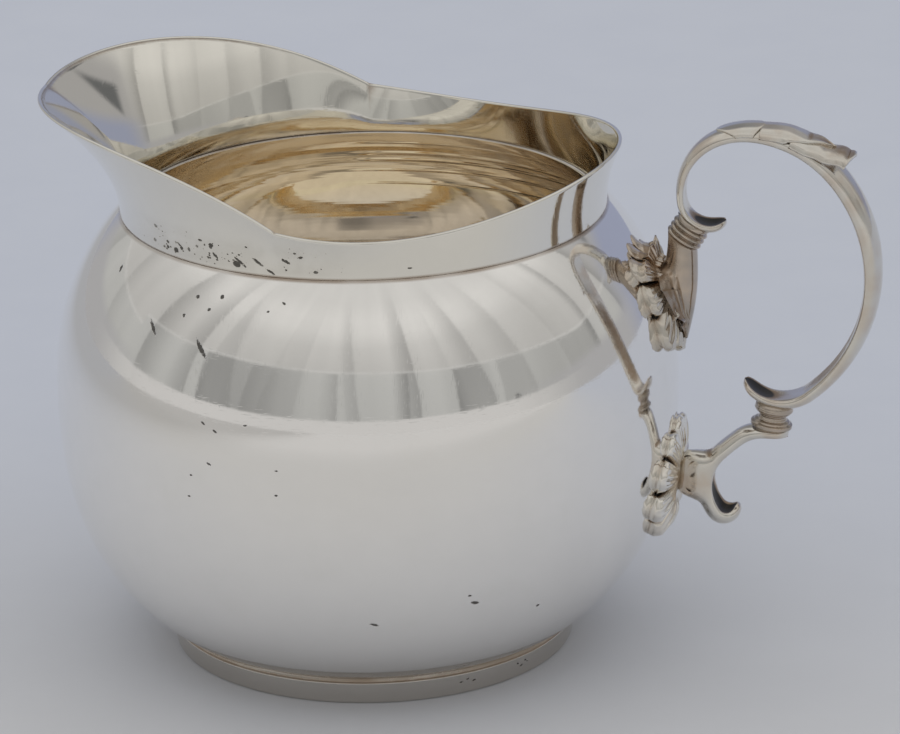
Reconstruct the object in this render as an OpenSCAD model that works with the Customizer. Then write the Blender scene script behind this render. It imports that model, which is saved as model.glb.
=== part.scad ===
// Small silver cream jug: raised round body, shaped collar with a broad lip, applied foot ring
// and a cast scroll handle set on two leaf mounts. The origin is the middle of the foot's resting
// face, +Z is up, the lip points along -X and the handle along +X. All lengths are millimetres.

/* [Body] */
// Widest outside diameter of the body
body_d = 84; // [76:1:92]
// Height of the widest part above the table
belly_z = 37; // [34:0.5:39]
// Thickness of the raised sheet
wall = 0.9; // [0.7:0.1:1.4]
// Outside diameter where the collar is joined on
neck_d = 65.2; // [60:0.2:70]
// Height of the seam between body and collar
seam_z = 61.2; // [58:0.2:64]
// Fullness of the shoulder, 2 is a plain ellipse
shoulder_power = 2.13; // [1.9:0.01:2.4]
// Fullness of the lower body, 2 is a plain ellipse
bowl_power = 2.5; // [2.2:0.05:2.8]
// How far the bottom is pushed up in the middle
punt = 0.8; // [0.4:0.1:1.6]
// Thickness of the gold layer that lines the bowl
gilding = 0.12; // [0.08:0.02:0.3]

/* [Foot] */
// Outside diameter of the foot on the table
foot_d = 54.4; // [50:0.2:58]
// Height of the foot's plain band
foot_band = 3; // [2:0.1:4]
// How much wider the band is at its top, on the radius
foot_flare = 0.4; // [0:0.05:0.8]
// Width of the strip that the foot is bent from
foot_strip = 1.5; // [1.2:0.1:2]
// Gap between the top of the band and the bowl above it, filled with solder
foot_gap = 0.6; // [0.4:0.05:1]
// How far the solder runs out past the band along the bowl
fillet_reach = 1.1; // [0.6:0.1:2]

/* [Collar and lip] */
// Thickness of the collar's sheet at the seam
collar_wall = 0.9; // [0.7:0.1:1.4]
// Thickness of the rim's edge
rim_edge = 0.55; // [0.4:0.05:0.8]
// Radius of the rim at the handle
rim_back_r = 34.8; // [33:0.2:37]
// Height of the rim at the handle
rim_back_z = 70.4; // [67:0.2:73]
// Radius of the rim at its narrowest part
rim_waist_r = 32.4; // [31.6:0.1:33.6]
// Height of the rim at its lowest part
rim_low_z = 66.5; // [65:0.1:67.5]
// Radius of the rim where the lip begins
crease_r = 33.9; // [33:0.1:35]
// Height of the rim where the lip begins
crease_z = 67.7; // [67:0.1:69]
// Reach of the lip's tip from the body's axis
lip_r = 43.3; // [39:0.1:47]
// Height of the lip's crest, on its sides
lip_crest_z = 76.9; // [74:0.1:80]
// How far the tip dips below the crest
lip_dip = 0.6; // [0:0.1:1.5]

/* [Handle loop] */
// Gap from the belly's widest line out to the middle of the upper scroll
scroll_out = 4.7; // [4:0.1:6]
// Height of the middle of the upper scroll
scroll_z = 63.5; // [62:0.1:66]
// Radius of the upper scroll, to the middle of the strap
scroll_r = 3.7; // [3.2:0.1:4.4]
// Radius of the rise behind the scroll
rise_r = 8.5; // [7.5:0.1:9.5]
// Radius of the crown under the thumb leaf
crown_r = 13.3; // [11:0.1:15]
// Radius of the shoulder past the thumb leaf
shoulder_r = 16.5; // [14:0.1:19]
// Radius of the grip
grip_r = 21.5; // [19:0.1:24]
// Radius of the lower scroll
tail_r = 5.9; // [5:0.1:7]
// Greatest width of the strap
strap_w = 6; // [5:0.1:7.5]
// Greatest thickness of the strap
strap_t = 2.8; // [2.2:0.1:3.4]
// Height of the thumb leaf's tip above the strap
leaf_rise = 2.2; // [1.6:0.1:2.8]

/* [Handle mounts] */
// Middle of the upper leaf's height
leaf_z = 52; // [50:0.2:54]
// Width of the upper leaf, measured round the body
leaf_w = 13.6; // [11:0.2:16]
// Length of the upper leaf from the middle to its lower tip
leaf_drop = 9.7; // [8:0.1:12]
// Length of the upper leaf from the middle to its top
leaf_top = 5.7; // [5:0.1:7]
// Middle of the palmette's height
palmette_z = 24.2; // [23:0.2:28]
// Width of the palmette, measured round the body
palmette_w = 18.4; // [14:0.2:22]
// Height of the palmette
palmette_h = 16.2; // [14:0.2:20]
// How much thicker the palmette's foot and thinner its top is than its middle, as a share
palmette_lean = 0.4; // [0:0.05:0.6]
// How far the upper leaf's top rolls out from the body
leaf_roll = 2.3; // [1.4:0.1:2.8]
// Thickness of the leaf and the palmette
plate_t = 1.5; // [1.2:0.1:2.2]
// Radius of the ringed collar between the upper bracket and the scroll
ring_r = 2.55; // [2.1:0.05:2.9]
// Length of the ringed collar
ring_h = 2.4; // [2:0.1:3]
// Radius of the knuckle under the lower scroll
knuckle_r = 2.6; // [2.2:0.05:3.2]
// Length of the knuckle
knuckle_h = 2.7; // [2.2:0.1:3.4]
// Radius of the lower bracket's bend under the knuckle
branch_r = 6.1; // [5.6:0.1:6.6]
// Radius of the lower bracket's free scroll
spur_r = 1.5; // [1.3:0.1:1.8]
// Greatest width of the lower bracket
branch_w = 5; // [4:0.1:6]
// Greatest thickness of the lower bracket
branch_t = 2.2; // [1.7:0.1:2.7]

/* [Hidden] */
$fn = 96;
silver = "#c9c7c1";
toned_silver = "#a89f90";
gold = "#c9a25a";
// Solder line left between pieces that sit on a curved face
seat = 0.1;
// How far a cutting shape runs past what it cuts
overrun = 2;

// Bowl outline, from the sizes of the body
belly_r = body_d / 2;
neck_r = neck_d / 2;
foot_r = foot_d / 2;
foot_top_r = foot_r + foot_flare;
foot_top_z = foot_band + foot_gap;
upper_a = (seam_z - belly_z) / pow(1 - pow(neck_r / belly_r, shoulder_power), 1 / shoulder_power);
lower_a = (belly_z - foot_top_z) / pow(1 - pow(foot_top_r / belly_r, bowl_power), 1 / bowl_power);
foot_in_r = foot_r - foot_strip;
base_r = foot_in_r - wall;

// Radius of the bowl at height z, with the skin taken in by inset
function bowl_r(z, inset = 0) =
    let (up = z > belly_z,
         power = up ? shoulder_power : bowl_power,
         share = abs(z - belly_z) / ((up ? upper_a : lower_a) - inset))
    (belly_r - inset) * pow(max(0, 1 - pow(share, power)), 1 / power);

// Height of the lower bowl at radius r
function bowl_z(r, inset = 0) =
    belly_z - (lower_a - inset) * pow(1 - pow(r / (belly_r - inset), bowl_power), 1 / bowl_power);

// Half outline of the bowl from the middle of the bottom up to the seam
bowl_steps = 28;
base_steps = 6;
function bowl_outline(inset) =
    let (edge_z = bowl_z(base_r, inset))
    concat(
        [for (k = [0 : base_steps - 1])
            let (r = base_r * k / base_steps)
            [r, edge_z + punt * (1 - pow(k / base_steps, 2))]],
        [for (k = [0 : bowl_steps])
            let (turn = 90 * k / bowl_steps,
                 z = belly_z - (belly_z - edge_z) * cos(turn))
            [bowl_r(z, inset), z]],
        [for (k = [1 : bowl_steps])
            let (z = belly_z + (seam_z - belly_z) * sin(90 * k / bowl_steps))
            [bowl_r(z, inset), z]]
    );

function backwards(list) = [for (k = [len(list) - 1 : -1 : 0]) list[k]];

// Turned shell between two insets of the bowl outline
module bowl_skin(outer_inset, inner_inset) {
    rotate_extrude()
        polygon(concat(bowl_outline(outer_inset), backwards(bowl_outline(inner_inset))));
}

// Faces between two rings of n points that start at a and b. The diagonals turn over halfway round,
// so that the two sides of a thin sheet are split alike.
function band_faces(a, b, n) = [
    for (i = [0 : n - 1])
        let (j = (i + 1) % n)
        each (i < n / 2
            ? [[a + i, b + i, b + j], [a + i, b + j, a + j]]
            : [[a + i, b + i, a + j], [b + i, b + j, a + j]])
];

// Solid through a row of rings. Each end is closed by strips from one side of the ring to the other,
// so the rings may be hollow.
module loft(rings) {
    n = len(rings[0]);
    last = len(rings) - 1;
    strips = [for (i = [0 : n / 2 - 2]) each [[i, i + 1, n - 2 - i], [i, n - 2 - i, n - 1 - i]]];
    polyhedron(
        points = [for (ring = rings) each ring],
        faces = concat(
            strips,
            [for (k = [0 : last - 1]) each band_faces(k * n, (k + 1) * n, n)],
            [for (f = strips) [for (i = backwards(f)) last * n + i]]
        )
    );
}

// Solid whose rings run round in a closed circle
module closed_loft(rings) {
    n = len(rings[0]);
    count = len(rings);
    polyhedron(
        points = [for (ring = rings) each ring],
        faces = [for (k = [0 : count - 1]) each band_faces(k * n, ((k + 1) % count) * n, n)]
    );
}

// Smooth change from 0 to 1
function ease(u) = (1 - cos(180 * min(1, max(0, u)))) / 2;

// Value at u along a list of shares, eased between its entries
function along(shares, u) =
    let (last = len(shares) - 1,
         v = min(max(u, 0), 1) * last,
         k = min(floor(v), last - 1))
    shares[k] + (shares[k + 1] - shares[k]) * ease(v - k);

// Rim of the collar by angle from the handle: waist, low point and crease of the lip
waist_angle = 55;
low_angle = 75;
crease_angle = 99;
crest_share = 0.74;
lip_rise_power = 2.2;
lip_spread_power = 0.92;
flare_power = 2;

function lip_share(angle) = (angle - crease_angle) / (180 - crease_angle);

function rim_r(angle) =
    angle < waist_angle ? rim_back_r + (rim_waist_r - rim_back_r) * ease(angle / waist_angle)
    : angle < crease_angle ? rim_waist_r + (crease_r - rim_waist_r)
        * ease((angle - waist_angle) / (crease_angle - waist_angle))
    : crease_r + (lip_r - crease_r) * ease(pow(lip_share(angle), lip_spread_power));

function rim_z(angle) =
    angle < low_angle ? rim_back_z + (rim_low_z - rim_back_z) * ease(angle / low_angle)
    : angle < crease_angle ? rim_low_z + (crease_z - rim_low_z)
        * pow((angle - low_angle) / (crease_angle - low_angle), 2)
    : lip_share(angle) < crest_share ? lip_crest_z - (lip_crest_z - crease_z)
        * pow(1 - lip_share(angle) / crest_share, lip_rise_power)
    : lip_crest_z - lip_dip * pow((lip_share(angle) - crest_share) / (1 - crest_share), 2);

collar_steps = 9;
back_steps = 20;
lip_steps = 18;
half_angles = concat(
    [for (k = [0 : back_steps - 1]) crease_angle * k / back_steps],
    [for (k = [0 : lip_steps]) crease_angle + (180 - crease_angle) * k / lip_steps]
);
collar_angles = concat(half_angles, [for (k = [len(half_angles) - 2 : -1 : 1]) 360 - half_angles[k]]);

// Cross-section of the collar at one angle: up the inside, over the edge and down the outside
function collar_section(angle) =
    let (folded = angle > 180 ? 360 - angle : angle,
         top_r = rim_r(folded),
         top_z = rim_z(folded) - rim_edge / 2,
         outside = [for (k = [0 : collar_steps])
             let (t = k / collar_steps)
             [neck_r + (top_r - neck_r) * pow(t, flare_power), seam_z + (top_z - seam_z) * t]],
         inside = [for (k = [0 : collar_steps])
             let (t = k / collar_steps)
             outside[k] - [collar_wall + (rim_edge - collar_wall) * t, 0]],
         edge = [[top_r - rim_edge / 2, rim_z(folded)]])
    [for (p = concat(inside, edge, backwards(outside))) [p[0] * cos(angle), p[0] * sin(angle), p[1]]];

// Path of arcs in the handle's plane. Each arc is [radius, turn], a positive turn bends to the left.
// Returns [x, z, heading] for every step.
arc_steps = 9;
function arc_from(state, radius, turn, steps) = [
    for (k = [1 : steps])
        let (side = sign(turn),
             start = state[2] - 90 * side,
             now = start + turn * k / steps)
        [
            state[0] + radius * (cos(now) - cos(start)),
            state[1] + radius * (sin(now) - sin(start)),
            state[2] + turn * k / steps
        ]
];
function arc_path(state, arcs, steps, k = 0) =
    k == len(arcs) ? [state]
    : let (run = arc_from(state, arcs[k][0], arcs[k][1], steps),
           end = run[len(run) - 1])
      concat([state], [for (i = [0 : steps - 2]) run[i]], arc_path(end, arcs, steps, k + 1));

// Point of the handle's plane at a side distance and height off the path, as seen along the path
function off_path(state, out, y) = [
    state[0] - out * sin(state[2]),
    y,
    state[1] + out * cos(state[2])
];

// Cross-section of a cast strap: rounded back, flat face with a shallow hollow. The back is on
// the path's left where side is 1 and on its right where side is -1. A lower round flattens it.
strap_sides = 16;
function strap_ring(state, back, face, half_w, hollow, side = 1, round = 1) = [
    for (k = [0 : strap_sides - 1])
        let (turn = 360 * k / strap_sides,
             out = turn <= 180 ? back * pow(sin(turn), round)
                 : hollow * pow(sin(turn), 2) - face * pow(-sin(turn), 0.5))
        off_path(state, side * out, side * half_w * cos(turn))
];

// Rounding of a strap's free end, by distance from it
end_floor_share = 0.2;
function end_share(distance, reach) =
    distance >= reach ? 1 : max(end_floor_share, sqrt(max(0, 1 - pow(1 - distance / reach, 2))));

// Handle loop: one run of arcs from the upper scroll's tip to the lower scroll's tip
scroll_x = belly_r + scroll_out;
scroll_tip_angle = -54;
scroll_turn = 118;
rise_turn = 90;
crown_turn = 30;
shoulder_turn = 35;
grip_turn = 85;
tail_turn = 97;
loop_arcs = [
    [scroll_r, -scroll_turn], [rise_r, -rise_turn], [crown_r, -crown_turn],
    [shoulder_r, -shoulder_turn], [grip_r, -grip_turn], [tail_r, -tail_turn]
];
loop_start = [
    scroll_x + scroll_r * cos(scroll_tip_angle),
    scroll_z + scroll_r * sin(scroll_tip_angle),
    scroll_tip_angle - 90
];
loop_path = arc_path(loop_start, loop_arcs, arc_steps);
loop_last = len(loop_path) - 1;
// Strap sizes at the ends of the arcs, as shares of the greatest ones
strap_t_shares = [0.6, 0.5, 0.71, 0.84, 1, 0.74, 0.56];
strap_w_shares = [0.75, 0.68, 0.9, 1, 1, 0.86, 0.76];
strap_hollow_shares = [0.3, 0.12, 0.05, 0.05, 0.05, 0.1, 0.3];
back_share = 0.55;

function strap_thick(k) = strap_t * along(strap_t_shares, k / loop_last);
function strap_half(k) = strap_w / 2 * along(strap_w_shares, k / loop_last);
function path_gap(path, i, j) = norm([path[i][0] - path[j][0], path[i][1] - path[j][1]]);

// Angle of the loop's outer side from +X. The loop's headings start below it by a whole turn.
function outer_angle(state) = state[2] + 90 + 360;

function loop_end(k) = end_share(
    min(path_gap(loop_path, k, 0), path_gap(loop_path, k, loop_last)),
    strap_half(k)
);

function loop_ring(k) =
    let (thick = strap_thick(k),
         taper = loop_end(k))
    strap_ring(
        loop_path[k], thick * back_share * taper, thick * (1 - back_share) * taper,
        strap_half(k) * taper, thick * taper * along(strap_hollow_shares, k / loop_last)
    );

// Ringed collar, square to the scroll and hollowed to fit its back
ring_angle = -122;
ring_count = 3;
ring_groove_share = 0.2;
ring_steps = 24;
ring_k = arc_steps * (scroll_tip_angle - ring_angle) / scroll_turn;
scroll_back = scroll_r + back_share * strap_thick(ring_k);
function ring_outline() = concat(
    [[0, 0]],
    [for (k = [0 : ring_steps])
        let (u = k / ring_steps,
             groove = 1 - abs(sin(180 * ring_count * u)))
        [ring_r * (1 - ring_groove_share * groove), ring_h * u]],
    [[ring_r, ring_h + overrun], [0, ring_h + overrun]]
);

// Place and heading of the far end of a piece that stands on a scroll's back
function stand_off(x, z, angle, distance) =
    [x + distance * cos(angle), z + distance * sin(angle), angle + 180];
ring_foot = stand_off(scroll_x, scroll_z, ring_angle, scroll_back + ring_h);

// Turned piece from its foot towards a scroll, hollowed to fit the scroll's back
module turned_seat(foot, outline, scroll_at, back_r) {
    difference() {
        translate([foot[0], 0, foot[1]])
            rotate([0, 90 - foot[2], 0])
                rotate_extrude()
                    polygon(outline);
        translate([scroll_at[0], 0, scroll_at[1]])
            rotate([90, 0, 0])
                cylinder(r = back_r + seat, h = 2 * (belly_r + overrun), center = true);
    }
}

// Leaf and palmette lie on the bowl, by arc length a round it, height z and rise h off it
function on_bowl(a, z, h) =
    let (r = bowl_r(z) + seat + h,
         turn = a / bowl_r(z) * 180 / PI)
    [r * cos(turn), r * sin(turn), z];

// Lobed plate on the bowl. reach(turn) is the outline and rise(share, turn) the relief, with
// turn measured from the top.
front_shares = [0.22, 0.4, 0.54, 0.64, 0.82, 1];
back_shares = [1, 0.5];
module lobed_plate(middle_z, count, reach, rise) {
    turns = [for (k = [0 : count - 1]) 360 * k / count];
    front = [for (s = front_shares) [for (t = turns)
        on_bowl(s * reach(t) * sin(t), middle_z + s * reach(t) * cos(t), rise(s, t))]];
    back = [for (s = back_shares) [for (t = turns)
        on_bowl(s * reach(t) * sin(t), middle_z + s * reach(t) * cos(t), 0)]];
    rings = concat(front, back);
    last = len(rings) - 1;
    top = count * len(rings);
    polyhedron(
        points = concat(
            [for (ring = rings) each ring],
            [on_bowl(0, middle_z, rise(0, 0)), on_bowl(0, middle_z, 0)]
        ),
        faces = concat(
            [for (i = [0 : count - 1]) [top, i, (i + 1) % count]],
            [for (k = [0 : last - 1]) each band_faces(k * count, (k + 1) * count, count)],
            [for (i = [0 : count - 1]) [top + 1, last * count + (i + 1) % count, last * count + i]]
        )
    );
}

// Relief of a plate: flat in the middle, a bead along each lobe, thinner at the edge
edge_share = 0.6;
bead_share = 0.4;
bead_start_share = 0.35;
bead_run_share = 0.75;
groove_share = 0.3;
function plate_rise(s, lobe) =
    plate_t * (1 - (1 - edge_share) * pow(s, 4) - groove_share * (1 - lobe) * s
        + bead_share * lobe * sin(180 * max(0, (s - bead_start_share) / bead_run_share)));

// Upper leaf: nine lobes, the lowest one drawn out to a tip
leaf_lobes = 9;
leaf_points = 6;
leaf_notch_share = 0.2;
leaf_reach_shares = [0.95, 1, 0.97, 1.12, 1];
roll_power = 2.4;
layer_share = 0.54;
layer_fade_share = 0.1;
layer_rise_share = 0.35;
function leaf_lobe(t) = abs(sin(leaf_lobes * t / 2));
// Its relief: the beads of the lobes, a second leaf laid on the first, and the rolled top
function leaf_rise_at(s, t) =
    plate_rise(s, leaf_lobe(t)) + leaf_roll * pow(s * max(0, cos(t)), roll_power)
        + plate_t * layer_rise_share * (1 - ease((s - layer_share) / layer_fade_share));
function leaf_reach(t) =
    let (length = cos(t) < 0 ? leaf_drop : leaf_top,
         plain = norm([sin(t) * leaf_w / 2, cos(t) * length]),
         folded = t > 180 ? 360 - t : t)
    plain * along(leaf_reach_shares, folded / 180) * (1 - leaf_notch_share * (1 - leaf_lobe(t)));

// Palmette: ten lobes round an oval
palmette_lobes = 10;
palmette_points = 6;
palmette_notch_share = 0.16;
function palmette_lobe(t) = abs(cos(palmette_lobes * t / 2));
function palmette_rise_at(s, t) = plate_rise(s, palmette_lobe(t)) * (1 - palmette_lean * s * cos(t));
function palmette_reach(t) =
    (1 - palmette_notch_share * (1 - palmette_lobe(t)))
        / norm([2 * sin(t) / palmette_w, 2 * cos(t) / palmette_h]);

// Upper bracket: a horn that grows out of the leaf up to the ringed collar. Each section is a
// line from the back to the front with a width across it.
bracket_steps = 14;
bracket_sides = 14;
bracket_low_share = 0.84;
bracket_free_share = 0.5;
bracket_bulge = 0.35;
bracket_toe = 0.1;
bracket_top_share = 0.88;
bracket_half_shares = [0.2, 0.5, 0.75, 0.9, 0.94, 0.9, 0.88];
bracket_keel = 0.7;
bracket_low_z = leaf_z - bracket_low_share * leaf_drop;

// Face of the leaf on the handle's plane, and of the palmette's flat middle
function leaf_face_x(z) =
    let (t = z < leaf_z ? 180 : 0)
    bowl_r(z) + 2 * seat + leaf_rise_at(abs(z - leaf_z) / leaf_reach(t), t);
function palmette_face_x(z) =
    bowl_r(z) + 2 * seat + plate_t * (1 - palmette_lean * (z - palmette_z) / (palmette_h / 2));

function bracket_back(u) =
    let (end = off_path(ring_foot, ring_r * bracket_top_share, 0),
         z = bracket_low_z + (end[2] - bracket_low_z) * u,
         free_z = bracket_low_z + (end[2] - bracket_low_z) * bracket_free_share)
    u < bracket_free_share ? [leaf_face_x(z), z]
        : [leaf_face_x(free_z) + (end[0] - leaf_face_x(free_z))
            * (u - bracket_free_share) / (1 - bracket_free_share), z];
function bracket_front(u) =
    let (end = off_path(ring_foot, -ring_r * bracket_top_share, 0),
         low = [leaf_face_x(bracket_low_z) + bracket_toe, bracket_low_z])
    low + ([end[0], end[2]] - low) * u + [bracket_bulge * sin(180 * u), 0];
function bracket_ring(u) =
    let (a = bracket_back(u),
         b = bracket_front(u),
         half_w = ring_r * along(bracket_half_shares, u))
    [for (k = [0 : bracket_sides - 1])
        let (turn = 360 * k / bracket_sides,
             lean = cos(turn),
             share = (1 + (lean < 0 ? -pow(-lean, bracket_keel) : lean)) / 2,
             p = a + (b - a) * share)
        [p[0], half_w * sin(turn), p[1]]];

// Thumb leaf: four lobes laid along the crown of the strap. The first two hug it, the others lift
// off it at the sides, and the last one ends in a tip turned up clear of the strap.
leaf_start_k = 1.83 * arc_steps;
leaf_end_k = 3.76 * arc_steps;
lobe_ends_shares = [0, 0.34, 0.64, 0.86, 1];
lobe_rise_shares = [0.06, 0.08, 0.08, 0.08, 0.12, 0.4, 1];
lobe_open_shares = [0.1, 0.86, 0.7, 0.7];
lobe_half_shares = [1, 1.06, 1.04, 1.02];
lobe_wrap_shares = [1.1, 1.35, 0.15, 0.1];
lobe_lift_shares = [0, 0, 0.7, 0.85];
lobe_sweep_shares = [0, 1, 1, 1, 0.6];
leaf_sweep = 0.9;
lobe_steps = 4;
lobe_gap_share = 0.012;
core_share = 0.4;
wrap_power = 0.6;
leaf_lean = 68;
leaf_sheet = 0.5;
tip_reach = 0.7;
tip_lift_share = 0.2;
tip_lead_share = 0.4;
tip_point_share = 0.95;
arch_steps = 8;

// State on the strap's path at a broken step number
function loop_at(k) =
    let (i = min(floor(k), loop_last - 1))
    loop_path[i] + (loop_path[i + 1] - loop_path[i]) * (k - i);

// Ring of the thumb leaf: an arch over the strap. Its inner side lies on the strap, apart from its
// flanks, which lift by the given height past the core and run ahead by the sweep.
function arch_ring(x, z, lean, half_w, wrap, rise, sheet, lift, sweep) = concat(
    [for (k = [0 : arch_steps])
        let (turn = 180 * k / arch_steps,
             n = wrap * (pow(sin(turn), wrap_power) - 1) + sheet + lift + (rise - sheet - lift) * sin(turn),
             y = (half_w + sheet) * cos(turn),
             ahead = sweep * (1 - sin(turn)))
        [x + n * cos(lean) + ahead * sin(lean), y, z + n * sin(lean) - ahead * cos(lean)]],
    [for (k = [arch_steps : -1 : 0])
        let (turn = 180 * k / arch_steps,
             n = wrap * (pow(sin(turn), wrap_power) - 1)
                 + lift * ease((abs(cos(turn)) - core_share) / (1 - core_share)),
             y = half_w * cos(turn),
             ahead = sweep * (1 - sin(turn)))
        [x + n * cos(lean) + ahead * sin(lean), y, z + n * sin(lean) - ahead * cos(lean)]]
);
function thumb_ring(u, half_share, wrap_share, lift_share) =
    let (k = leaf_start_k + (leaf_end_k - leaf_start_k) * u,
         at = loop_at(k),
         crest = off_path(at, strap_thick(k) * back_share + seat, 0),
         rise = leaf_rise * along(lobe_rise_shares, u),
         sheet = min(leaf_sheet, rise / 2))
    arch_ring(
        crest[0], crest[2], max(outer_angle(at), leaf_lean), strap_half(k) * half_share + seat,
        strap_thick(k) * back_share * wrap_share * half_share, rise, sheet, (rise - sheet) * lift_share,
        leaf_sweep * along(lobe_sweep_shares, u)
    );
function thumb_rings() = [
    for (lobe = [0 : len(lobe_ends_shares) - 2])
        for (k = [0 : lobe_steps])
            let (v = k / lobe_steps,
                 from = lobe_ends_shares[lobe] + (lobe == 0 ? 0 : lobe_gap_share),
                 open = lobe_open_shares[lobe])
            thumb_ring(
                from + (lobe_ends_shares[lobe + 1] - from) * v,
                lobe_half_shares[lobe] * (open + (1 - open) * sin(90 * v)),
                lobe_wrap_shares[lobe], lobe_lift_shares[lobe]
            )
];
function tip_rings() =
    let (at = loop_at(leaf_end_k),
         crest = off_path(at, strap_thick(leaf_end_k) * back_share + seat, 0),
         rise = leaf_rise - leaf_sheet,
         half_w = strap_half(leaf_end_k))
    [for (k = [0 : lobe_steps])
        let (v = (k + tip_lead_share) / (lobe_steps + tip_lead_share),
             taper = sqrt(1 - pow(tip_point_share * v, 2)))
        arch_ring(
            crest[0] + rise * cos(leaf_lean) + tip_reach * v,
            crest[2] + rise * sin(leaf_lean) + tip_reach * tip_lift_share * pow(v, 2),
            leaf_lean, half_w * taper, 0, leaf_sheet, leaf_sheet * taper / 2, 0,
            leaf_sweep * along(lobe_sweep_shares, 1)
        )];

// Lower knuckle: a waisted spool under the lower scroll
knuckle_angle = -99;
knuckle_shares = [1.08, 1.08, 0.92, 0.75, 0.7, 0.74, 0.92, 1, 0.98];
knuckle_steps = 24;
tail_start_k = arc_steps * (len(loop_arcs) - 1);
tail_from = loop_path[tail_start_k];
tail_middle = [tail_from[0] + tail_r * sin(tail_from[2]), tail_from[1] - tail_r * cos(tail_from[2])];
tail_k = tail_start_k + arc_steps * (outer_angle(tail_from) - knuckle_angle) / tail_turn;
tail_back = tail_r + back_share * strap_thick(tail_k);
knuckle_foot = stand_off(tail_middle[0], tail_middle[1], knuckle_angle, tail_back + knuckle_h);
function knuckle_outline() = concat(
    [[0, 0]],
    [for (k = [0 : knuckle_steps])
        [knuckle_r * along(knuckle_shares, k / knuckle_steps), knuckle_h * k / knuckle_steps]],
    [[knuckle_r, knuckle_h + overrun], [0, knuckle_h + overrun]]
);

// Lower bracket: a C-scroll from under the knuckle round to its own free scroll, with a root
// that swells back to the palmette
branch_bend_shares = [3.3, 0.89, 4.55];
branch_arcs = [
    [branch_r * branch_bend_shares[0], 9], [branch_r * branch_bend_shares[1], 38],
    [branch_r * branch_bend_shares[2], 7], [branch_r, 82], [spur_r, 138]
];
branch_steps = 8;
branch_t_shares = [0.55, 0.8, 1, 1.05, 1.35, 0.9];
branch_w_shares = [1, 0.85, 0.75, 0.8, 1, 0.95];
branch_hollow_shares = [0, 0.05, 0.1, 0.15, 0.3, 0.3];
branch_round_shares = [0.4, 0.8, 1, 1, 1, 1];
branch_back_share = 0.55;
root_heading = 262;
root_full = 17;
root_fade = 26;
platform_share = 0.95;
branch_start =
    let (heading = knuckle_foot[2] + 90,
         under = branch_t * branch_t_shares[0] * branch_back_share + seat,
         middle = off_path([knuckle_foot[0], knuckle_foot[1], heading], under, 0))
    [
        middle[0] - knuckle_r * platform_share * cos(heading),
        middle[2] - knuckle_r * platform_share * sin(heading),
        heading
    ];
branch_path = arc_path(branch_start, branch_arcs, branch_steps);
branch_last = len(branch_path) - 1;
// Distance from the branch's middle line back to the palmette's face
function root_reach(state) =
    let (dx = sin(state[2]),
         dz = -cos(state[2]),
         first = (palmette_face_x(state[1]) - state[0]) / dx)
    (palmette_face_x(state[1] + dz * first) - state[0]) / dx;
function branch_ring(k) =
    let (state = branch_path[k],
         u = k / branch_last,
         thick = branch_t * along(branch_t_shares, u),
         half_w = branch_w / 2 * along(branch_w_shares, u),
         taper = end_share(path_gap(branch_path, k, branch_last), half_w),
         nose = end_share(path_gap(branch_path, k, 0), half_w),
         root = 1 - ease((abs(state[2] - root_heading) - root_full) / (root_fade - root_full)),
         back = thick * branch_back_share * taper)
    strap_ring(
        state, back + (root > 0 ? root * (root_reach(state) - back) : 0),
        thick * (1 - branch_back_share) * taper, half_w * taper * nose,
        thick * taper * along(branch_hollow_shares, u), -1, along(branch_round_shares, u)
    );

// Foot: a flat strip bent into a ring, its band a little wider at the top, with a fillet of
// solder up to the bowl
foot_edge = 0.35;
fillet_dip = 0.3;
edge_steps = 4;
fillet_steps = 6;
function foot_outline() = concat(
    [[foot_in_r, foot_edge], [foot_in_r + foot_edge, 0]],
    [for (k = [0 : edge_steps])
        let (turn = 90 * k / edge_steps - 90)
        [foot_r - foot_edge + foot_edge * cos(turn), foot_edge + foot_edge * sin(turn)]],
    [[foot_top_r, foot_band]],
    [[foot_top_r - fillet_dip, foot_band + fillet_dip / 2]],
    [for (k = [0 : fillet_steps])
        let (r = foot_top_r + fillet_reach - (foot_strip + foot_flare + fillet_reach) * k / fillet_steps)
        [r, bowl_z(r)]]
);

module body_shell() {
    color(silver)
        bowl_skin(0, wall);
}

module gilt_lining() {
    color(gold)
        bowl_skin(wall, wall + gilding);
}

module neck_collar() {
    color(silver)
        closed_loft([for (angle = collar_angles) collar_section(angle)]);
}

module foot_ring() {
    color(silver)
        rotate_extrude()
            polygon(foot_outline());
}

module upper_leaf() {
    color(toned_silver)
        lobed_plate(
            leaf_z, leaf_lobes * leaf_points, function(t) leaf_reach(t),
            function(s, t) leaf_rise_at(s, t)
        );
}

module upper_bracket() {
    color(toned_silver)
        loft([for (k = [0 : bracket_steps]) bracket_ring(k / bracket_steps)]);
}

module ring_collar() {
    color(toned_silver)
        turned_seat(ring_foot, ring_outline(), [scroll_x, scroll_z], scroll_back);
}

module handle_loop() {
    color(silver)
        loft([for (k = [0 : loop_last]) loop_ring(k)]);
}

module thumb_leaf() {
    color(silver)
        loft(concat(thumb_rings(), tip_rings()));
}

module lower_knuckle() {
    color(toned_silver)
        turned_seat(knuckle_foot, knuckle_outline(), tail_middle, tail_back);
}

module lower_bracket() {
    color(toned_silver)
        loft([for (k = [0 : branch_last]) branch_ring(k)]);
}

module lower_palmette() {
    color(toned_silver)
        lobed_plate(
            palmette_z, palmette_lobes * palmette_points, function(t) palmette_reach(t),
            function(s, t) palmette_rise_at(s, t)
        );
}

body_shell();
gilt_lining();
neck_collar();
foot_ring();
upper_leaf();
upper_bracket();
ring_collar();
handle_loop();
thumb_leaf();
lower_knuckle();
lower_bracket();
lower_palmette();
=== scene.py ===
# Silver cream jug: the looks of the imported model. Lengths are millimetres up to the mesh, which is
# in metres. The jug's axis is Z, the handle points along +X and the lip along -X.
import math

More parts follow.
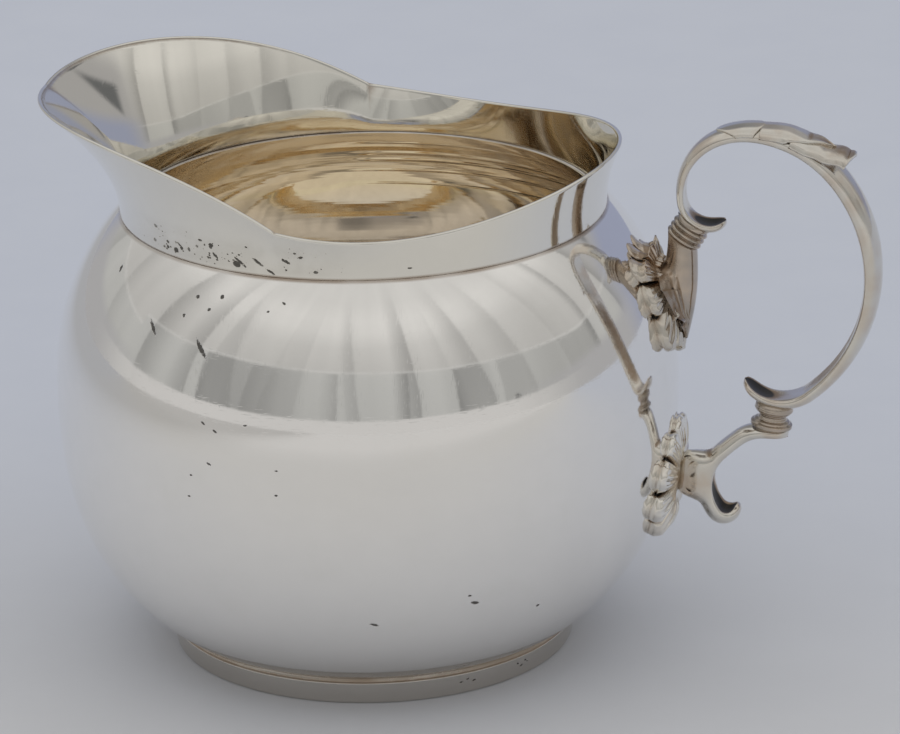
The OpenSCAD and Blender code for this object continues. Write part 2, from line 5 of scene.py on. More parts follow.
import bmesh
import bpy
import numpy as np
from mathutils import Matrix, Vector, kdtree


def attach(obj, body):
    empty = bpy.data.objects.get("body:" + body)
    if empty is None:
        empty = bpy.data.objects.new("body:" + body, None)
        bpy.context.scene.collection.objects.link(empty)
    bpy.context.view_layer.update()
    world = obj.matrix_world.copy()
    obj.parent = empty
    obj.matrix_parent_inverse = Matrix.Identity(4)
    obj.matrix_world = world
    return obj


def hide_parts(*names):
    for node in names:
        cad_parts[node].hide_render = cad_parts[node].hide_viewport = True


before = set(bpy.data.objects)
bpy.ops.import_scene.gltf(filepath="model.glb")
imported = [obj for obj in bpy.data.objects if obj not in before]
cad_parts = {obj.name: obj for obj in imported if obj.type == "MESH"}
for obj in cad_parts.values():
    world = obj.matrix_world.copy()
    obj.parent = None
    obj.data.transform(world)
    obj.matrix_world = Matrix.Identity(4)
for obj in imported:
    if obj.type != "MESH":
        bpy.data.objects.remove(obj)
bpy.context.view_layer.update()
MM = 0.001


def sind(a):
    return math.sin(math.radians(a))


def cosd(a):
    return math.cos(math.radians(a))


def ease(u):
    return (1 - cosd(180 * min(1.0, max(0.0, u)))) / 2


def mix(a, b, u):
    return a + (b - a) * u


def along(shares, u):
    """Value at u along a list of shares, eased between its entries."""
    last = len(shares) - 1
    v = min(max(u, 0.0), 1.0) * last
    k = min(int(v), last - 1)
    return mix(shares[k], shares[k + 1], ease(v - k))


# Sizes of the body, the same as the solids have
BELLY_R, BELLY_Z, WALL, GILDING = 42.0, 37.0, 0.9, 0.12
NECK_R, SEAM_Z = 32.6, 61.2
SHOULDER_POWER, BOWL_POWER, PUNT = 2.13, 2.5, 0.8
FOOT_R, FOOT_BAND, FOOT_FLARE, FOOT_STRIP = 27.2, 3.0, 0.4, 1.5
FOOT_TOP_R, FOOT_TOP_Z, FILLET_REACH = FOOT_R + FOOT_FLARE, FOOT_BAND + 0.6, 1.1
SEAT = 0.1
UPPER_A = (SEAM_Z - BELLY_Z) / (1 - (NECK_R / BELLY_R) ** SHOULDER_POWER) ** (1 / SHOULDER_POWER)
LOWER_A = (BELLY_Z - FOOT_TOP_Z) / (1 - (FOOT_TOP_R / BELLY_R) ** BOWL_POWER) ** (1 / BOWL_POWER)
FOOT_IN_R = FOOT_R - FOOT_STRIP
BASE_R = FOOT_IN_R - WALL


def bowl_r(z, inset=0.0):
    up = z > BELLY_Z
    power = SHOULDER_POWER if up else BOWL_POWER
    share = abs(z - BELLY_Z) / ((UPPER_A if up else LOWER_A) - inset)
    return (BELLY_R - inset) * max(0.0, 1 - share**power) ** (1 / power)


def bowl_z(r, inset=0.0):
    return BELLY_Z - (LOWER_A - inset) * (1 - (r / (BELLY_R - inset)) ** BOWL_POWER) ** (1 / BOWL_POWER)


def bowl_outline(inset, steps=110, bottom_steps=24):
    """Half outline of the bowl from the middle of the bottom up to the seam."""
    edge_z = bowl_z(BASE_R, inset)
    out = []
    for k in range(bottom_steps):
        u = k / bottom_steps
        out.append((BASE_R * u, edge_z + PUNT * (1 - u * u)))
    for k in range(steps + 1):
        z = BELLY_Z - (BELLY_Z - edge_z) * cosd(90 * k / steps)
        out.append((bowl_r(z, inset), z))
    for k in range(1, steps + 1):
        z = BELLY_Z + (SEAM_Z - BELLY_Z) * sind(90 * k / steps)
        out.append((bowl_r(z, inset), z))
    return out


# Meshes
PIECES = {}
SAME_PLACE_M = 1e-7
ON_AXIS = 1e-6


def make(name, points, faces, material, nodes, slot, shade=None):
    """A smooth piece of the jug that stands for one or more of the solids."""
    mesh = bpy.data.meshes.new(name)
    mesh.from_pydata([Vector(p) * MM for p in points], [], faces)
    values = shade or [0.0] * len(points)
    mesh.attributes.new("shade", "FLOAT", "POINT").data.foreach_set("value", values)
    mesh.validate()
    bm = bmesh.new()
    bm.from_mesh(mesh)
    bmesh.ops.remove_doubles(bm, verts=bm.verts, dist=SAME_PLACE_M)
    bmesh.ops.recalc_face_normals(bm, faces=bm.faces)
    bm.to_mesh(mesh)
    bm.free()
    mesh.polygons.foreach_set("use_smooth", [True] * len(mesh.polygons))
    piece = bpy.data.objects.new(name, mesh)
    bpy.context.scene.collection.objects.link(piece)
    mesh.materials.append(material)
    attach(piece, "root")
    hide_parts(*nodes)
    PIECES[name] = piece


def turned(outline, segments, close=False):
    """Points and faces of an outline of (radius, height) turned round the Z axis."""
    turns = [360 * k / segments for k in range(segments)]
    points, faces, rows = [], [], []
    for r, z in outline:
        if r < ON_AXIS:
            rows.append([len(points)] * segments)
            points.append((0.0, 0.0, z))
        else:
            rows.append(list(range(len(points), len(points) + segments)))
            points += [(r * cosd(a), r * sind(a), z) for a in turns]
    pairs = list(zip(rows, rows[1:])) + ([(rows[-1], rows[0])] if close else [])
    for a, b in pairs:
        for k in range(segments):
            j = (k + 1) % segments
            face = []
            for v in (a[k], a[j], b[j], b[k]):
                if v not in face:
                    face.append(v)
            if len(face) > 2:
                faces.append(face)
    return points, faces


def loft(rings, close=False):
    """Points and faces of a solid through rings of points, closed by caps or in a circle."""
    n = len(rings[0])
    points = [p for ring in rings for p in ring]
    faces = []
    count = len(rings)
    for k in range(count if close else count - 1):
        a, b = k * n, ((k + 1) % count) * n
        faces += [(a + i, b + i, b + (i + 1) % n, a + (i + 1) % n) for i in range(n)]
    if not close:
        for base in (0, (count - 1) * n):
            for i in range(n // 2 - 1):
                faces.append((base + i, base + i + 1, base + n - 2 - i, base + n - 1 - i))
    return points, faces


def arc_path(state, arcs, steps):
    """Path of arcs [radius, turn] in the handle's plane, as [x, z, heading] for every step."""
    path = [tuple(state)]
    for radius, turn in arcs:
        x, z, h = path[-1]
        start = h - 90 * (1 if turn > 0 else -1)
        for k in range(1, steps + 1):
            bend = turn * k / steps
            now = start + bend
            ahead = radius * (cosd(now) - cosd(start))
            path.append((x + ahead, z + radius * (sind(now) - sind(start)), h + bend))
    return path


def off_path(state, out, y):
    """The place at a distance out beside the path, across its heading."""
    return (state[0] - out * sind(state[2]), y, state[1] + out * cosd(state[2]))


def end_share(distance, reach, floor=0.03):
    """Share of the full size near a rounded end: 1 from reach on."""
    return 1.0 if distance >= reach else max(floor, math.sqrt(max(0.0, 1 - (1 - distance / reach) ** 2)))


def gap(path, i, j):
    return math.hypot(path[i][0] - path[j][0], path[i][1] - path[j][1])


# Materials
def nodes_of(name):
    material = bpy.data.materials.new(name)
    material.use_nodes = True
    tree = material.node_tree
    tree.nodes.clear()
    return material, tree


class Graph:
    """Short names for the shader nodes that the materials use."""

    def __init__(self, tree):
        self.tree = tree

    def add(self, kind, **values):
        node = self.tree.nodes.new(kind)
        for key, value in values.items():
            if key in node.inputs:
                self.put(node.inputs[key], value)
            else:
                setattr(node, key, value)
        return node

    def put(self, socket, value):
        if isinstance(value, bpy.types.NodeSocket):
            self.tree.links.new(value, socket)
        elif isinstance(value, (tuple, list)) and len(value) == 3 and len(socket.default_value) == 4:
            socket.default_value = (*value, 1)
        else:
            socket.default_value = value

    def math(self, operation, *values):
        node = self.add("ShaderNodeMath", operation=operation)
        for index, value in enumerate(values):
            self.put(node.inputs[index], value)
        return node.outputs[0]

    def mul(self, a, b):
        return self.math("MULTIPLY", a, b)

    def plus(self, a, b):
        return self.math("ADD", a, b)

    def less(self, a, b):
        return self.math("SUBTRACT", a, b)

    def most(self, a, b):
        return self.math("MAXIMUM", a, b)

    def size(self, value):
        return self.math("ABSOLUTE", value)

    def turn(self, x, y):
        """Direction round the Z axis in degrees."""
        return self.mul(self.math("ARCTAN2", y, x), 180 / math.pi)

    def spread(self, value, low, high, to_low=0.0, to_high=1.0, smooth=False):
        node = self.add("ShaderNodeMapRange", interpolation_type="SMOOTHSTEP" if smooth else "LINEAR")
        for index, v in enumerate((value, low, high, to_low, to_high)):
            self.put(node.inputs[index], v)
        return node.outputs[0]

    def fade(self, value, span):
        """0 at the span's first value and 1 at its last, with soft ends."""
        return self.spread(value, *span, smooth=True)

    def fade_mm(self, value, span):
        """The same for a value in metres and a span in millimetres."""
        return self.spread(value, span[0] * MM, span[1] * MM, smooth=True)

    def blend(self, share, a, b, kind="MIX"):
        node = self.add("ShaderNodeMix", data_type="RGBA", blend_type=kind)
        self.put(node.inputs[0], share)
        self.put(node.inputs[6], a)
        self.put(node.inputs[7], b)
        return node.outputs[2]

    def noise(self, where, scale, detail=2.0, rough=0.5, dims="3D"):
        node = self.add(
            "ShaderNodeTexNoise", noise_dimensions=dims, Scale=scale, Detail=detail, Roughness=rough,
        )
        self.put(node.inputs["Vector" if dims != "1D" else "W"], where)
        return node.outputs[0]

    def place(self):
        return self.add("ShaderNodeTexCoord").outputs["Object"]

    def apart(self, vector):
        return self.add("ShaderNodeSeparateXYZ", Vector=vector).outputs[:3]

    def grey(self, value):
        return self.add("ShaderNodeCombineXYZ", X=value, Y=value, Z=value).outputs[0]

    def scaled(self, vector, by):
        node = self.add("ShaderNodeVectorMath", operation="MULTIPLY")
        self.put(node.inputs[0], vector)
        self.put(node.inputs[1], by)
        return node.outputs[0]

    def bumped(self, height, depth, normal=None):
        """Relief of a height from 0 to 1 that is so many millimetres deep."""
        node = self.add("ShaderNodeBump", Distance=depth * MM, Strength=1.0, Height=height)
        if normal is not None:
            self.put(node.inputs["Normal"], normal)
        return node.outputs[0]

    def attribute(self, name):
        return self.add("ShaderNodeAttribute", attribute_name=name).outputs["Fac"]

    def surface(self, **values):
        shader = self.add("ShaderNodeBsdfPrincipled")
        for key, value in values.items():
            self.put(shader.inputs[key.replace("_", " ")], value)
        out = self.add("ShaderNodeOutputMaterial")
        self.tree.links.new(shader.outputs[0], out.inputs[0])


SHEET_SILVER, FOOT_SHADED_SILVER, COLLAR_SHADED_SILVER = (0.95, 0.935, 0.91), (0.67, 0.635, 0.585), (0.89, 0.865, 0.80)
CAST_SILVER, LEAF_SILVER, DARK_SILVER = (0.77, 0.745, 0.69), (0.66, 0.62, 0.555), (0.42, 0.38, 0.335)
PALMETTE_LIT_SILVER, GOLD = (0.88, 0.855, 0.80), (0.96, 0.86, 0.68)
PALE_GOLD, HIGHLIGHT_GOLD = (0.87, 0.84, 0.80), (0.98, 0.90, 0.68)
TARNISH_AND_SHADE, BROWN, CLOUD_GREY = (0.32, 0.235, 0.165), (0.66, 0.55, 0.45), (0.82, 0.82, 0.82)
SOOT, CREVICE_BLACK = (0.085, 0.078, 0.068), (0.035, 0.032, 0.028)
SMUDGE, PITTED_GREY = (0.80, 0.79, 0.72), (0.45, 0.42, 0.36)
# How strong the tarnish and painted shade in the crevices is where it isn't full
PART_TARNISH_AND_SHADE = {"body": 0.75, "collar": 0.75, "foot": 0.9, "gilding": 0.35}
# Depths of the relief: waves of the hammer, scratches, marks, and lines and ridges of the turning
WAVE_DEPTH, SCRATCH_DEPTH, MARK_DEPTH, LINE_DEPTH, RIDGE_DEPTH = 0.06, 0.0012, 0.12, 0.02, 0.11
SCRATCH_STRETCHES = ((5200.0, 700.0, 900.0), (600.0, 900.0, 5600.0))
# Where brown lines fade in: heights at the foot's seam and over the foot, distance from the neck's seam;
# over the foot's top and in the recess above the foot the brown is partly painted shade
FOOT_SEAM_AND_SHADE, RECESS_TARNISH_AND_SHADE, SEAM_LINE = (2.92, 3.1), (5.0, 4.0), (0.42, 0.1)
# The gold wash: heights where it is rich, its painted highlight ring, and each ridge's level, half width and
# height
GOLD_HIGH, GOLD_LOW, GOLD_HIGHLIGHT_Z, GOLD_HIGHLIGHT = (46.0, 53.0), (9.0, 4.0), 51.5, (0.7, 0.2)
GOLD_RIDGES = ((59.7, 0.25, 0.6), (57.7, 0.5, 1.0), (56.5, 0.4, 1.0), (54.6, 0.3, 0.7), (52.3, 0.25, 0.6))
RIDGED_TURN, RIDGED_SPAN = 72.0, (34.0, 12.0)
# The pitted field on the collar: its sides, its heights, and the scale and size of each layer of pits
PITS_FROM, PITS_TO, PITS_LOW, PITS_HIGH = (-150.0, -128.0), (-80.0, -92.0), (61.3, 62.2), (66.7, 64.6)
PIT_LAYERS, PIT_STRETCH = ((560.0, 0.40), (900.0, 0.40), (1500.0, 0.36)), (1.0, 1.0, 1.35)
# Marks of wear on the body: direction, height, half length, half width and tilt
BODY_MARKS = [
    (-125.6, 53.5, 1.15, 0.24, -42), (-112.6, 52.4, 1.4, 0.26, -44), (-143.9, 57.9, 0.5, 0.25, -60),
    (-116.9, 58.0, 0.32, 0.2, 0), (-111.0, 58.5, 0.3, 0.2, 0), (-113.1, 56.9, 0.3, 0.2, 0),
    (-118.7, 55.7, 0.26, 0.2, 0), (-96.5, 58.6, 0.3, 0.12, -20), (-99.7, 57.6, 0.25, 0.12, 0),
    (-110.0, 43.4, 0.3, 0.13, -30), (-107.5, 42.6, 0.35, 0.13, -30), (-101.6, 43.9, 0.3, 0.1, 10),
    (-108.7, 38.1, 0.35, 0.13, -20), (-112.5, 36.1, 0.2, 0.12, 0), (-95.7, 38.3, 0.22, 0.1, 0),
    (-95.9, 34.9, 0.2, 0.12, 0), (-113.2, 33.1, 0.2, 0.12, 0), (-78.9, 15.8, 0.55, 0.2, -15),
    (-59.3, 18.0, 0.6, 0.22, -20), (-44.4, 15.1, 0.25, 0.2, 0), (-60.6, 19.3, 0.2, 0.15, 0),
]
NECK_MARKS = [
    (-126.1, 63.2, 0.6, 0.16, -35), (-115.3, 63.1, 0.5, 0.2, -40), (-108.5, 62.8, 0.9, 0.2, -35),
    (-101.0, 62.0, 0.7, 0.16, -30), (-103.9, 63.1, 0.8, 0.18, -35), (-97.0, 63.6, 0.6, 0.2, -25),
    (-93.5, 64.3, 0.4, 0.16, 10), (-119.2, 64.8, 0.4, 0.14, 0), (-68.8, 62.6, 0.3, 0.1, 0),
]
FOOT_MARKS = [
    (-54.5, 1.8, 0.25, 0.10, 0), (-52.5, 2.1, 0.2, 0.12, 20), (-50.5, 1.7, 0.3, 0.12, 10),
    (-35, 2.1, 0.2, 0.12, -20), (-33.5, 1.6, 0.22, 0.12, 30), (-32, 2.2, 0.2, 0.10, 0),
    (-31, 1.9, 0.2, 0.12, 10),
]
# Marks of each part and the radius at which they lie
MARKS = {"body": (40.0, BODY_MARKS), "collar": (33.0, NECK_MARKS), "foot": (27.4, FOOT_MARKS)}


def marks(g, turn, z, wobble, radius, places):
    """How much of a mark each place has: 1 inside a mark and 0 outside."""
    total = 0.0
    for direction, height, long, wide, tilt in places:
        u = g.mul(g.plus(turn, -float(direction)), math.radians(radius))
        v = g.plus(g.mul(z, 1000.0), -float(height))
        a = g.plus(g.mul(u, cosd(tilt) / long), g.mul(v, sind(tilt) / long))
        b = g.plus(g.mul(u, -sind(tilt) / wide), g.mul(v, cosd(tilt) / wide))
        away = g.plus(g.plus(g.mul(a, a), g.mul(b, b)), wobble)
        total = g.most(total, g.spread(away, 1.25, 0.6))
    return total


def wiping_scratches(g, where):
    """Fine scratches in all directions: two stretched noises across each other."""
    noises = [g.noise(g.scaled(where, stretch), 1.0, 1.0, 0.5) for stretch in SCRATCH_STRETCHES]
    return g.plus(*[g.spread(noise, 0.62, 0.75) for noise in noises])


def stains_and_shade(g, where, z, crevice, part):
    """Tarnish and painted shade in the crevices, a thin brown line of uneven strength at the solder seams,
    which on the foot's top is partly painted shade, and painted shade in the recess over the foot.
    """
    fine = g.noise(where, 900.0, 3.0, 0.6)
    stain_and_shade = g.fade(g.plus(crevice, g.mul(g.plus(fine, -0.5), 0.4)), (0.22, 0.9))
    stain_and_shade = g.mul(stain_and_shade, PART_TARNISH_AND_SHADE.get(part, 1.0))
    if part in MARKS:
        uneven = g.spread(g.noise(where, 70.0, 3.0, 0.6), 0.3, 0.65, 0.25, 1.0)
        if part == "foot":
            # Over the whole top of the foot, not only the seam: tarnish and painted shade
            line = g.fade_mm(z, FOOT_SEAM_AND_SHADE)
        else:
            line = g.fade_mm(g.size(g.plus(z, -SEAM_Z * MM)), SEAM_LINE)
        stain_and_shade = g.most(stain_and_shade, g.mul(g.mul(line, uneven), 0.8))
    if part == "body":
        # Tarnish and painted shade in the recess over the foot
        stain_and_shade = g.most(stain_and_shade, g.mul(g.fade_mm(z, RECESS_TARNISH_AND_SHADE), 0.6))
    return stain_and_shade


def gold_tone(g, where, z):
    """The wash is rich under the neck, with a painted highlight in a thin bright ring, and thin on the worn
    bottom.
    """
    edge = g.plus(z, g.mul(g.plus(g.noise(where, 40.0, 2.0, 0.5), -0.5), 0.006))
    rich = g.most(g.fade_mm(edge, GOLD_HIGH), g.mul(g.fade_mm(z, GOLD_LOW), 0.6))
    tone = g.blend(rich, PALE_GOLD, GOLD)
    # Painted highlight: a thin bright ring round the wash at one height
    line = g.fade_mm(g.size(g.plus(edge, -GOLD_HIGHLIGHT_Z * MM)), GOLD_HIGHLIGHT)
    return g.blend(g.mul(line, 0.6), tone, HIGHLIGHT_GOLD)


def gold_relief(g, where, normal):
    """Fine lines of the turning all over, and stronger ridges under the neck, worn off in places."""
    x, y, z = g.apart(where)
    radius = g.math("SQRT", g.plus(g.mul(x, x), g.mul(y, y)))
    drift = g.mul(g.noise(where, 12.0, 1.0, 0.5), 0.004)
    lines = g.noise(g.plus(g.plus(z, g.mul(radius, -0.6)), drift), 260.0, 3.0, 0.6, dims="1D")
    normal = g.bumped(lines, LINE_DEPTH, normal)
    ridges = 0.0
    for level, half, height in GOLD_RIDGES:
        away = g.size(g.plus(g.plus(z, g.mul(drift, 0.25)), -level * MM))
        ridges = g.plus(ridges, g.mul(g.fade_mm(away, (half, 0.0)), height))
    aside = g.size(g.plus(g.turn(x, y), -RIDGED_TURN))
    patches = g.fade(g.noise(where, 22.0, 2.0, 0.5), (0.4, 0.58))
    ridges = g.mul(ridges, g.most(patches, g.fade(aside, RIDGED_SPAN)))
    return g.bumped(ridges, RIDGE_DEPTH, normal)


def collar_pits(g, where, turn, z, wobble, pit):
    """Adds the pits low on the collar's left, and says where the field of them lies."""
    sides = g.mul(g.fade(turn, PITS_FROM), g.fade(turn, PITS_TO))
    heights = g.mul(g.fade_mm(z, PITS_LOW), g.fade_mm(z, PITS_HIGH))
    field = g.mul(g.mul(sides, heights), g.fade(g.noise(where, 260.0, 2.0, 0.5), (0.3, 0.55)))
    for scale, size in PIT_LAYERS:
        place = g.scaled(where, PIT_STRETCH)
        cells = g.add("ShaderNodeTexVoronoi", Scale=scale, Randomness=1.0, Vector=place)
        chosen = g.apart(cells.outputs["Color"])[0]
        reach = g.mul(g.spread(chosen, 0.35, 1.0, 0.0, size), field)
        away = g.plus(cells.outputs["Distance"], g.mul(wobble, 0.07))
        pit = g.most(pit, g.mul(g.spread(g.less(reach, away), 0.0, 0.06), field))
    return pit, field


def marked(g, where, part, tone, rough, normal):
    """Marks, pits and smudges of use on the body, the collar or the foot."""
    x, y, z = g.apart(where)
    turn = g.turn(x, y)
    wobble = g.mul(g.plus(g.noise(where, 2300.0, 3.0, 0.75), -0.5), 4.0)
    pit = marks(g, turn, z, wobble, *MARKS[part])
    if part == "body":
        smudge = g.mul(g.fade(g.noise(where, 130.0, 4.0, 0.7), (0.52, 0.72)), 0.10)
        tone = g.blend(smudge, tone, SMUDGE)
        rough = g.plus(rough, g.mul(smudge, 0.5))
    if part == "collar":
        pit, field = collar_pits(g, where, turn, z, wobble, pit)
        tone = g.blend(g.mul(field, 0.16), tone, PITTED_GREY)
    tone = g.blend(g.mul(pit, 0.92), tone, SOOT)
    rough = g.plus(rough, g.mul(pit, 0.4))
    normal = g.bumped(g.mul(pit, -1.0), MARK_DEPTH, normal)
    return tone, rough, normal


def metal(name, colour, roughness, wear, grain=1.0, part=None, patina=0.0):
    """Polished precious metal: faint waves of the hammer, fine wiping scratches, dull spots, and tarnish
    with painted shade in the crevices."""
    material, tree = nodes_of(name)
    g = Graph(tree)
    where = g.place()
    z = g.apart(where)[2]
    crevice = g.attribute("crevice")
    cloud = g.noise(where, 90.0, 4.0, 0.6)
    scratches = wiping_scratches(g, where)
    stain_and_shade = stains_and_shade(g, where, z, crevice, part)
    tone = gold_tone(g, where, z) if part == "gilding" else colour
    if patina:
        brown = g.fade(g.noise(where, 150.0, 3.0, 0.6), (0.38, 0.72))
        tone = g.blend(g.mul(brown, patina), tone, BROWN)
    clouded = g.blend(1.0, tone, CLOUD_GREY, "MULTIPLY")
    tone = g.blend(g.mul(g.spread(cloud, 0.35, 0.75), 0.12), tone, clouded)
    # Tarnish and painted shade: crevices, seams, the foot's top and the recess over the foot
    tone = g.blend(stain_and_shade, tone, TARNISH_AND_SHADE)
    # With patina, the deepest crevices and the scrolls' inner hollows turn near-black: deep tarnish and
    # painted shade
    if patina:
        tone = g.blend(g.fade(crevice, (0.9, 1.2)), tone, CREVICE_BLACK)
    rough = g.plus(roughness, g.mul(g.spread(cloud, 0.4, 0.8), wear * 0.5))
    rough = g.plus(rough, g.mul(scratches, wear * 0.35))
    rough = g.plus(rough, g.mul(stain_and_shade, 0.3))
    normal = g.bumped(g.noise(where, 55.0, 1.0, 0.4), WAVE_DEPTH * grain)
    if part == "gilding":
        normal = gold_relief(g, where, normal)
    else:
        normal = g.bumped(scratches, SCRATCH_DEPTH, normal)
    if part in MARKS:
        tone, rough, normal = marked(g, where, part, tone, rough, normal)
    g.surface(Base_Color=tone, Metallic=1.0, Roughness=g.math("MINIMUM", rough, 1.0), Normal=normal)
    return material


sheet = metal("silver_sheet", SHEET_SILVER, roughness=0.045, wear=0.06, part="body")
# The foot's silver is darker and browner than the body's: tarnish, and painted shade for the shadowed floor
# it mirrors
foot_metal = metal("silver_foot", FOOT_SHADED_SILVER, roughness=0.09, wear=0.08, part="foot")
# The collar's silver is a little darker than the body's: painted shade for the darker floor it mirrors in
# front
collar_metal = metal("silver_collar", COLLAR_SHADED_SILVER, roughness=0.05, wear=0.06, part="collar")
casting = metal("silver_casting", CAST_SILVER, 0.10, 0.12, grain=2.0, patina=0.75)
dull_casting = metal("silver_casting_dull", LEAF_SILVER, 0.13, 0.14, grain=2.0, patina=0.95)
dark_casting = metal("silver_casting_dark", DARK_SILVER, 0.13, 0.14, grain=2.0, patina=0.8)
# The palmette's cast silver is a lighter copy: painted light for the bright overhead its lobes mirror
lit_palmette_casting = metal("silver_casting_painted_light", PALMETTE_LIT_SILVER, 0.09, 0.12, grain=2.0, patina=0.5)
gilt = metal("gold_wash", GOLD, roughness=0.03, wear=0.05, part="gilding")

# Body
# The gold lining starts a hair inside the shell's inner face, so the two share no surface
SHELL_INSET, LINING_INSET, ROUND_SIDES = WALL + 0.02, WALL + 0.021, 288


def bowl_wall(inset, inner_inset):
    return turned(bowl_outline(inset) + bowl_outline(inner_inset)[::-1], ROUND_SIDES)


make("body", *bowl_wall(0.0, SHELL_INSET), sheet, ["body_shell"], "silver_sheet")
make("gilding", *bowl_wall(LINING_INSET, WALL + GILDING), gilt, ["gilt_lining"], "gold_wash")

# Collar and lip
COLLAR_WALL, RIM_EDGE = 0.9, 0.55
RIM_BACK_R, RIM_BACK_Z, RIM_WAIST_R, RIM_LOW_Z = 34.8, 70.4, 32.4, 66.5
CREASE_R, CREASE_Z, LIP_R, LIP_CREST_Z, LIP_DIP = 33.9, 67.7, 43.3, 76.9, 0.6
WAIST_ANGLE, LOW_ANGLE, CREASE_ANGLE, CREST = 55.0, 75.0, 99.0, 0.74
LIP_POWER, CLIMB_POWER = 0.92, 2.2
BACK_SIDES, LIP_SIDES, EDGE_TURNS = 110, 90, range(15, 180, 15)


def lip_share(angle):
    return (angle - CREASE_ANGLE) / (180 - CREASE_ANGLE)


def rim_r(angle):
    if angle < WAIST_ANGLE:
        return mix(RIM_BACK_R, RIM_WAIST_R, ease(angle / WAIST_ANGLE))
    if angle < CREASE_ANGLE:
        return mix(RIM_WAIST_R, CREASE_R, ease((angle - WAIST_ANGLE) / (CREASE_ANGLE - WAIST_ANGLE)))
    return mix(CREASE_R, LIP_R, ease(max(0.0, lip_share(angle)) ** LIP_POWER))


def rim_z(angle):
    if angle < LOW_ANGLE:
        return mix(RIM_BACK_Z, RIM_LOW_Z, ease(angle / LOW_ANGLE))
    if angle < CREASE_ANGLE:
        return mix(RIM_LOW_Z, CREASE_Z, ((angle - LOW_ANGLE) / (CREASE_ANGLE - LOW_ANGLE)) ** 2)
    if lip_share(angle) < CREST:
        return LIP_CREST_Z - (LIP_CREST_Z - CREASE_Z) * (1 - lip_share(angle) / CREST) ** CLIMB_POWER
    return LIP_CREST_Z - LIP_DIP * ((lip_share(angle) - CREST) / (1 - CREST)) ** 2


def collar_ring(angle, steps=40):
    """Section of the collar's wall with its rounded edge, at an angle from the handle."""
    folded = 360 - angle if angle > 180 else angle
    top_r, top_z = rim_r(folded), rim_z(folded) - RIM_EDGE / 2
    outside, inside = [], []
    for k in range(steps + 1):
        t = k / steps
        r = NECK_R + (top_r - NECK_R) * t * t
        z = SEAM_Z + (top_z - SEAM_Z) * t
        outside.append((r, z))
        inside.append((r - mix(COLLAR_WALL, RIM_EDGE, t), z))
    edge = [
        (top_r - RIM_EDGE / 2 - RIM_EDGE / 2 * cosd(a), top_z + RIM_EDGE / 2 * sind(a))
        for a in EDGE_TURNS
    ]
    return [(r * cosd(angle), r * sind(angle), z) for r, z in inside + edge + outside[::-1]]


angles = [CREASE_ANGLE * k / BACK_SIDES for k in range(BACK_SIDES)]
angles += [CREASE_ANGLE + (180 - CREASE_ANGLE) * k / LIP_SIDES for k in range(LIP_SIDES + 1)]
angles += [360 - a for a in angles[-2:0:-1]]
collar_rings = [collar_ring(a) for a in angles]
make("collar", *loft(collar_rings, True), collar_metal, ["neck_collar"], "silver_sheet")

# Foot
FOOT_EDGE, FOOT_BEVEL, FOOT_SINK, FOOT_STEPS = 0.35, 0.1, 0.02, 12
BAND_SHARES = (0.25, 0.5, 0.75, 0.95, 1.0)
# How far in and how far up the two corners over the band lie
BAND_CORNERS = ((0.08, 0.1), (0.3, 0.16))


def foot_outline():
    out = [(FOOT_IN_R, FOOT_EDGE), (FOOT_IN_R + FOOT_BEVEL, FOOT_BEVEL), (FOOT_IN_R + FOOT_EDGE, 0.0)]
    for a in range(-90, 1, 10):
        out.append((FOOT_R - FOOT_EDGE + FOOT_EDGE * cosd(a), FOOT_EDGE + FOOT_EDGE * sind(a)))
    out += [(FOOT_R + FOOT_FLARE * u, mix(FOOT_EDGE, FOOT_BAND, u)) for u in BAND_SHARES]
    out += [(FOOT_TOP_R - back, FOOT_BAND + up) for back, up in BAND_CORNERS]
    for k in range(FOOT_STEPS + 1):
        r = mix(FOOT_TOP_R + FILLET_REACH, FOOT_IN_R, k / FOOT_STEPS)
        out.append((r, bowl_z(r) + (FOOT_SINK if 0 < k < FOOT_STEPS else 0)))
    return out


make("foot", *turned(foot_outline(), ROUND_SIDES, True), foot_metal, ["foot_ring"], "silver_sheet")

# Handle loop
SCROLL_X, SCROLL_Z, SCROLL_R = BELLY_R + 4.7, 63.5, 3.7
TIP_ANGLE, SCROLL_TURN = -54.0, 118.0
TAIL_R, TAIL_TURN = 5.9, 97.0
LOOP_ARCS = [
    (SCROLL_R, -SCROLL_TURN), (8.5, -90.0), (13.3, -30.0), (16.5, -35.0), (21.5, -85.0), (TAIL_R, -TAIL_TURN),
]
LOOP_STEPS = 30
STRAP_T, STRAP_W, BACK, STRAP_SIDES = 2.8, 6.0, 0.55, 40
STRAP_T_SHARES = [0.6, 0.5, 0.71, 0.84, 1, 0.74, 0.56]
STRAP_W_SHARES = [0.75, 0.68, 0.9, 1, 1, 0.86, 0.76]
STRAP_HOLLOW = [0.42, 0.12, 0.05, 0.05, 0.05, 0.1, 0.36]
loop_path = arc_path(
    (SCROLL_X + SCROLL_R * cosd(TIP_ANGLE), SCROLL_Z + SCROLL_R * sind(TIP_ANGLE), TIP_ANGLE - 90),
    LOOP_ARCS, LOOP_STEPS,
)
LOOP_LAST = len(loop_path) - 1


def strap_ring(state, back, face, half_w, hollow, side=1, soft=1.0):
    """Section of a strap with a domed back and a face that may be hollow."""
    ring = []
    for k in range(STRAP_SIDES):
        turn = 360 * k / STRAP_SIDES
        s = sind(turn)
        out = back * max(0.0, s) ** soft if turn <= 180 else hollow * s * s - face * abs(s) ** 0.5
        ring.append(off_path(state, side * out, side * half_w * cosd(turn)))
    return ring


def strap_thick(u):
    return STRAP_T * along(STRAP_T_SHARES, u)


def strap_half(u):
    return STRAP_W / 2 * along(STRAP_W_SHARES, u)


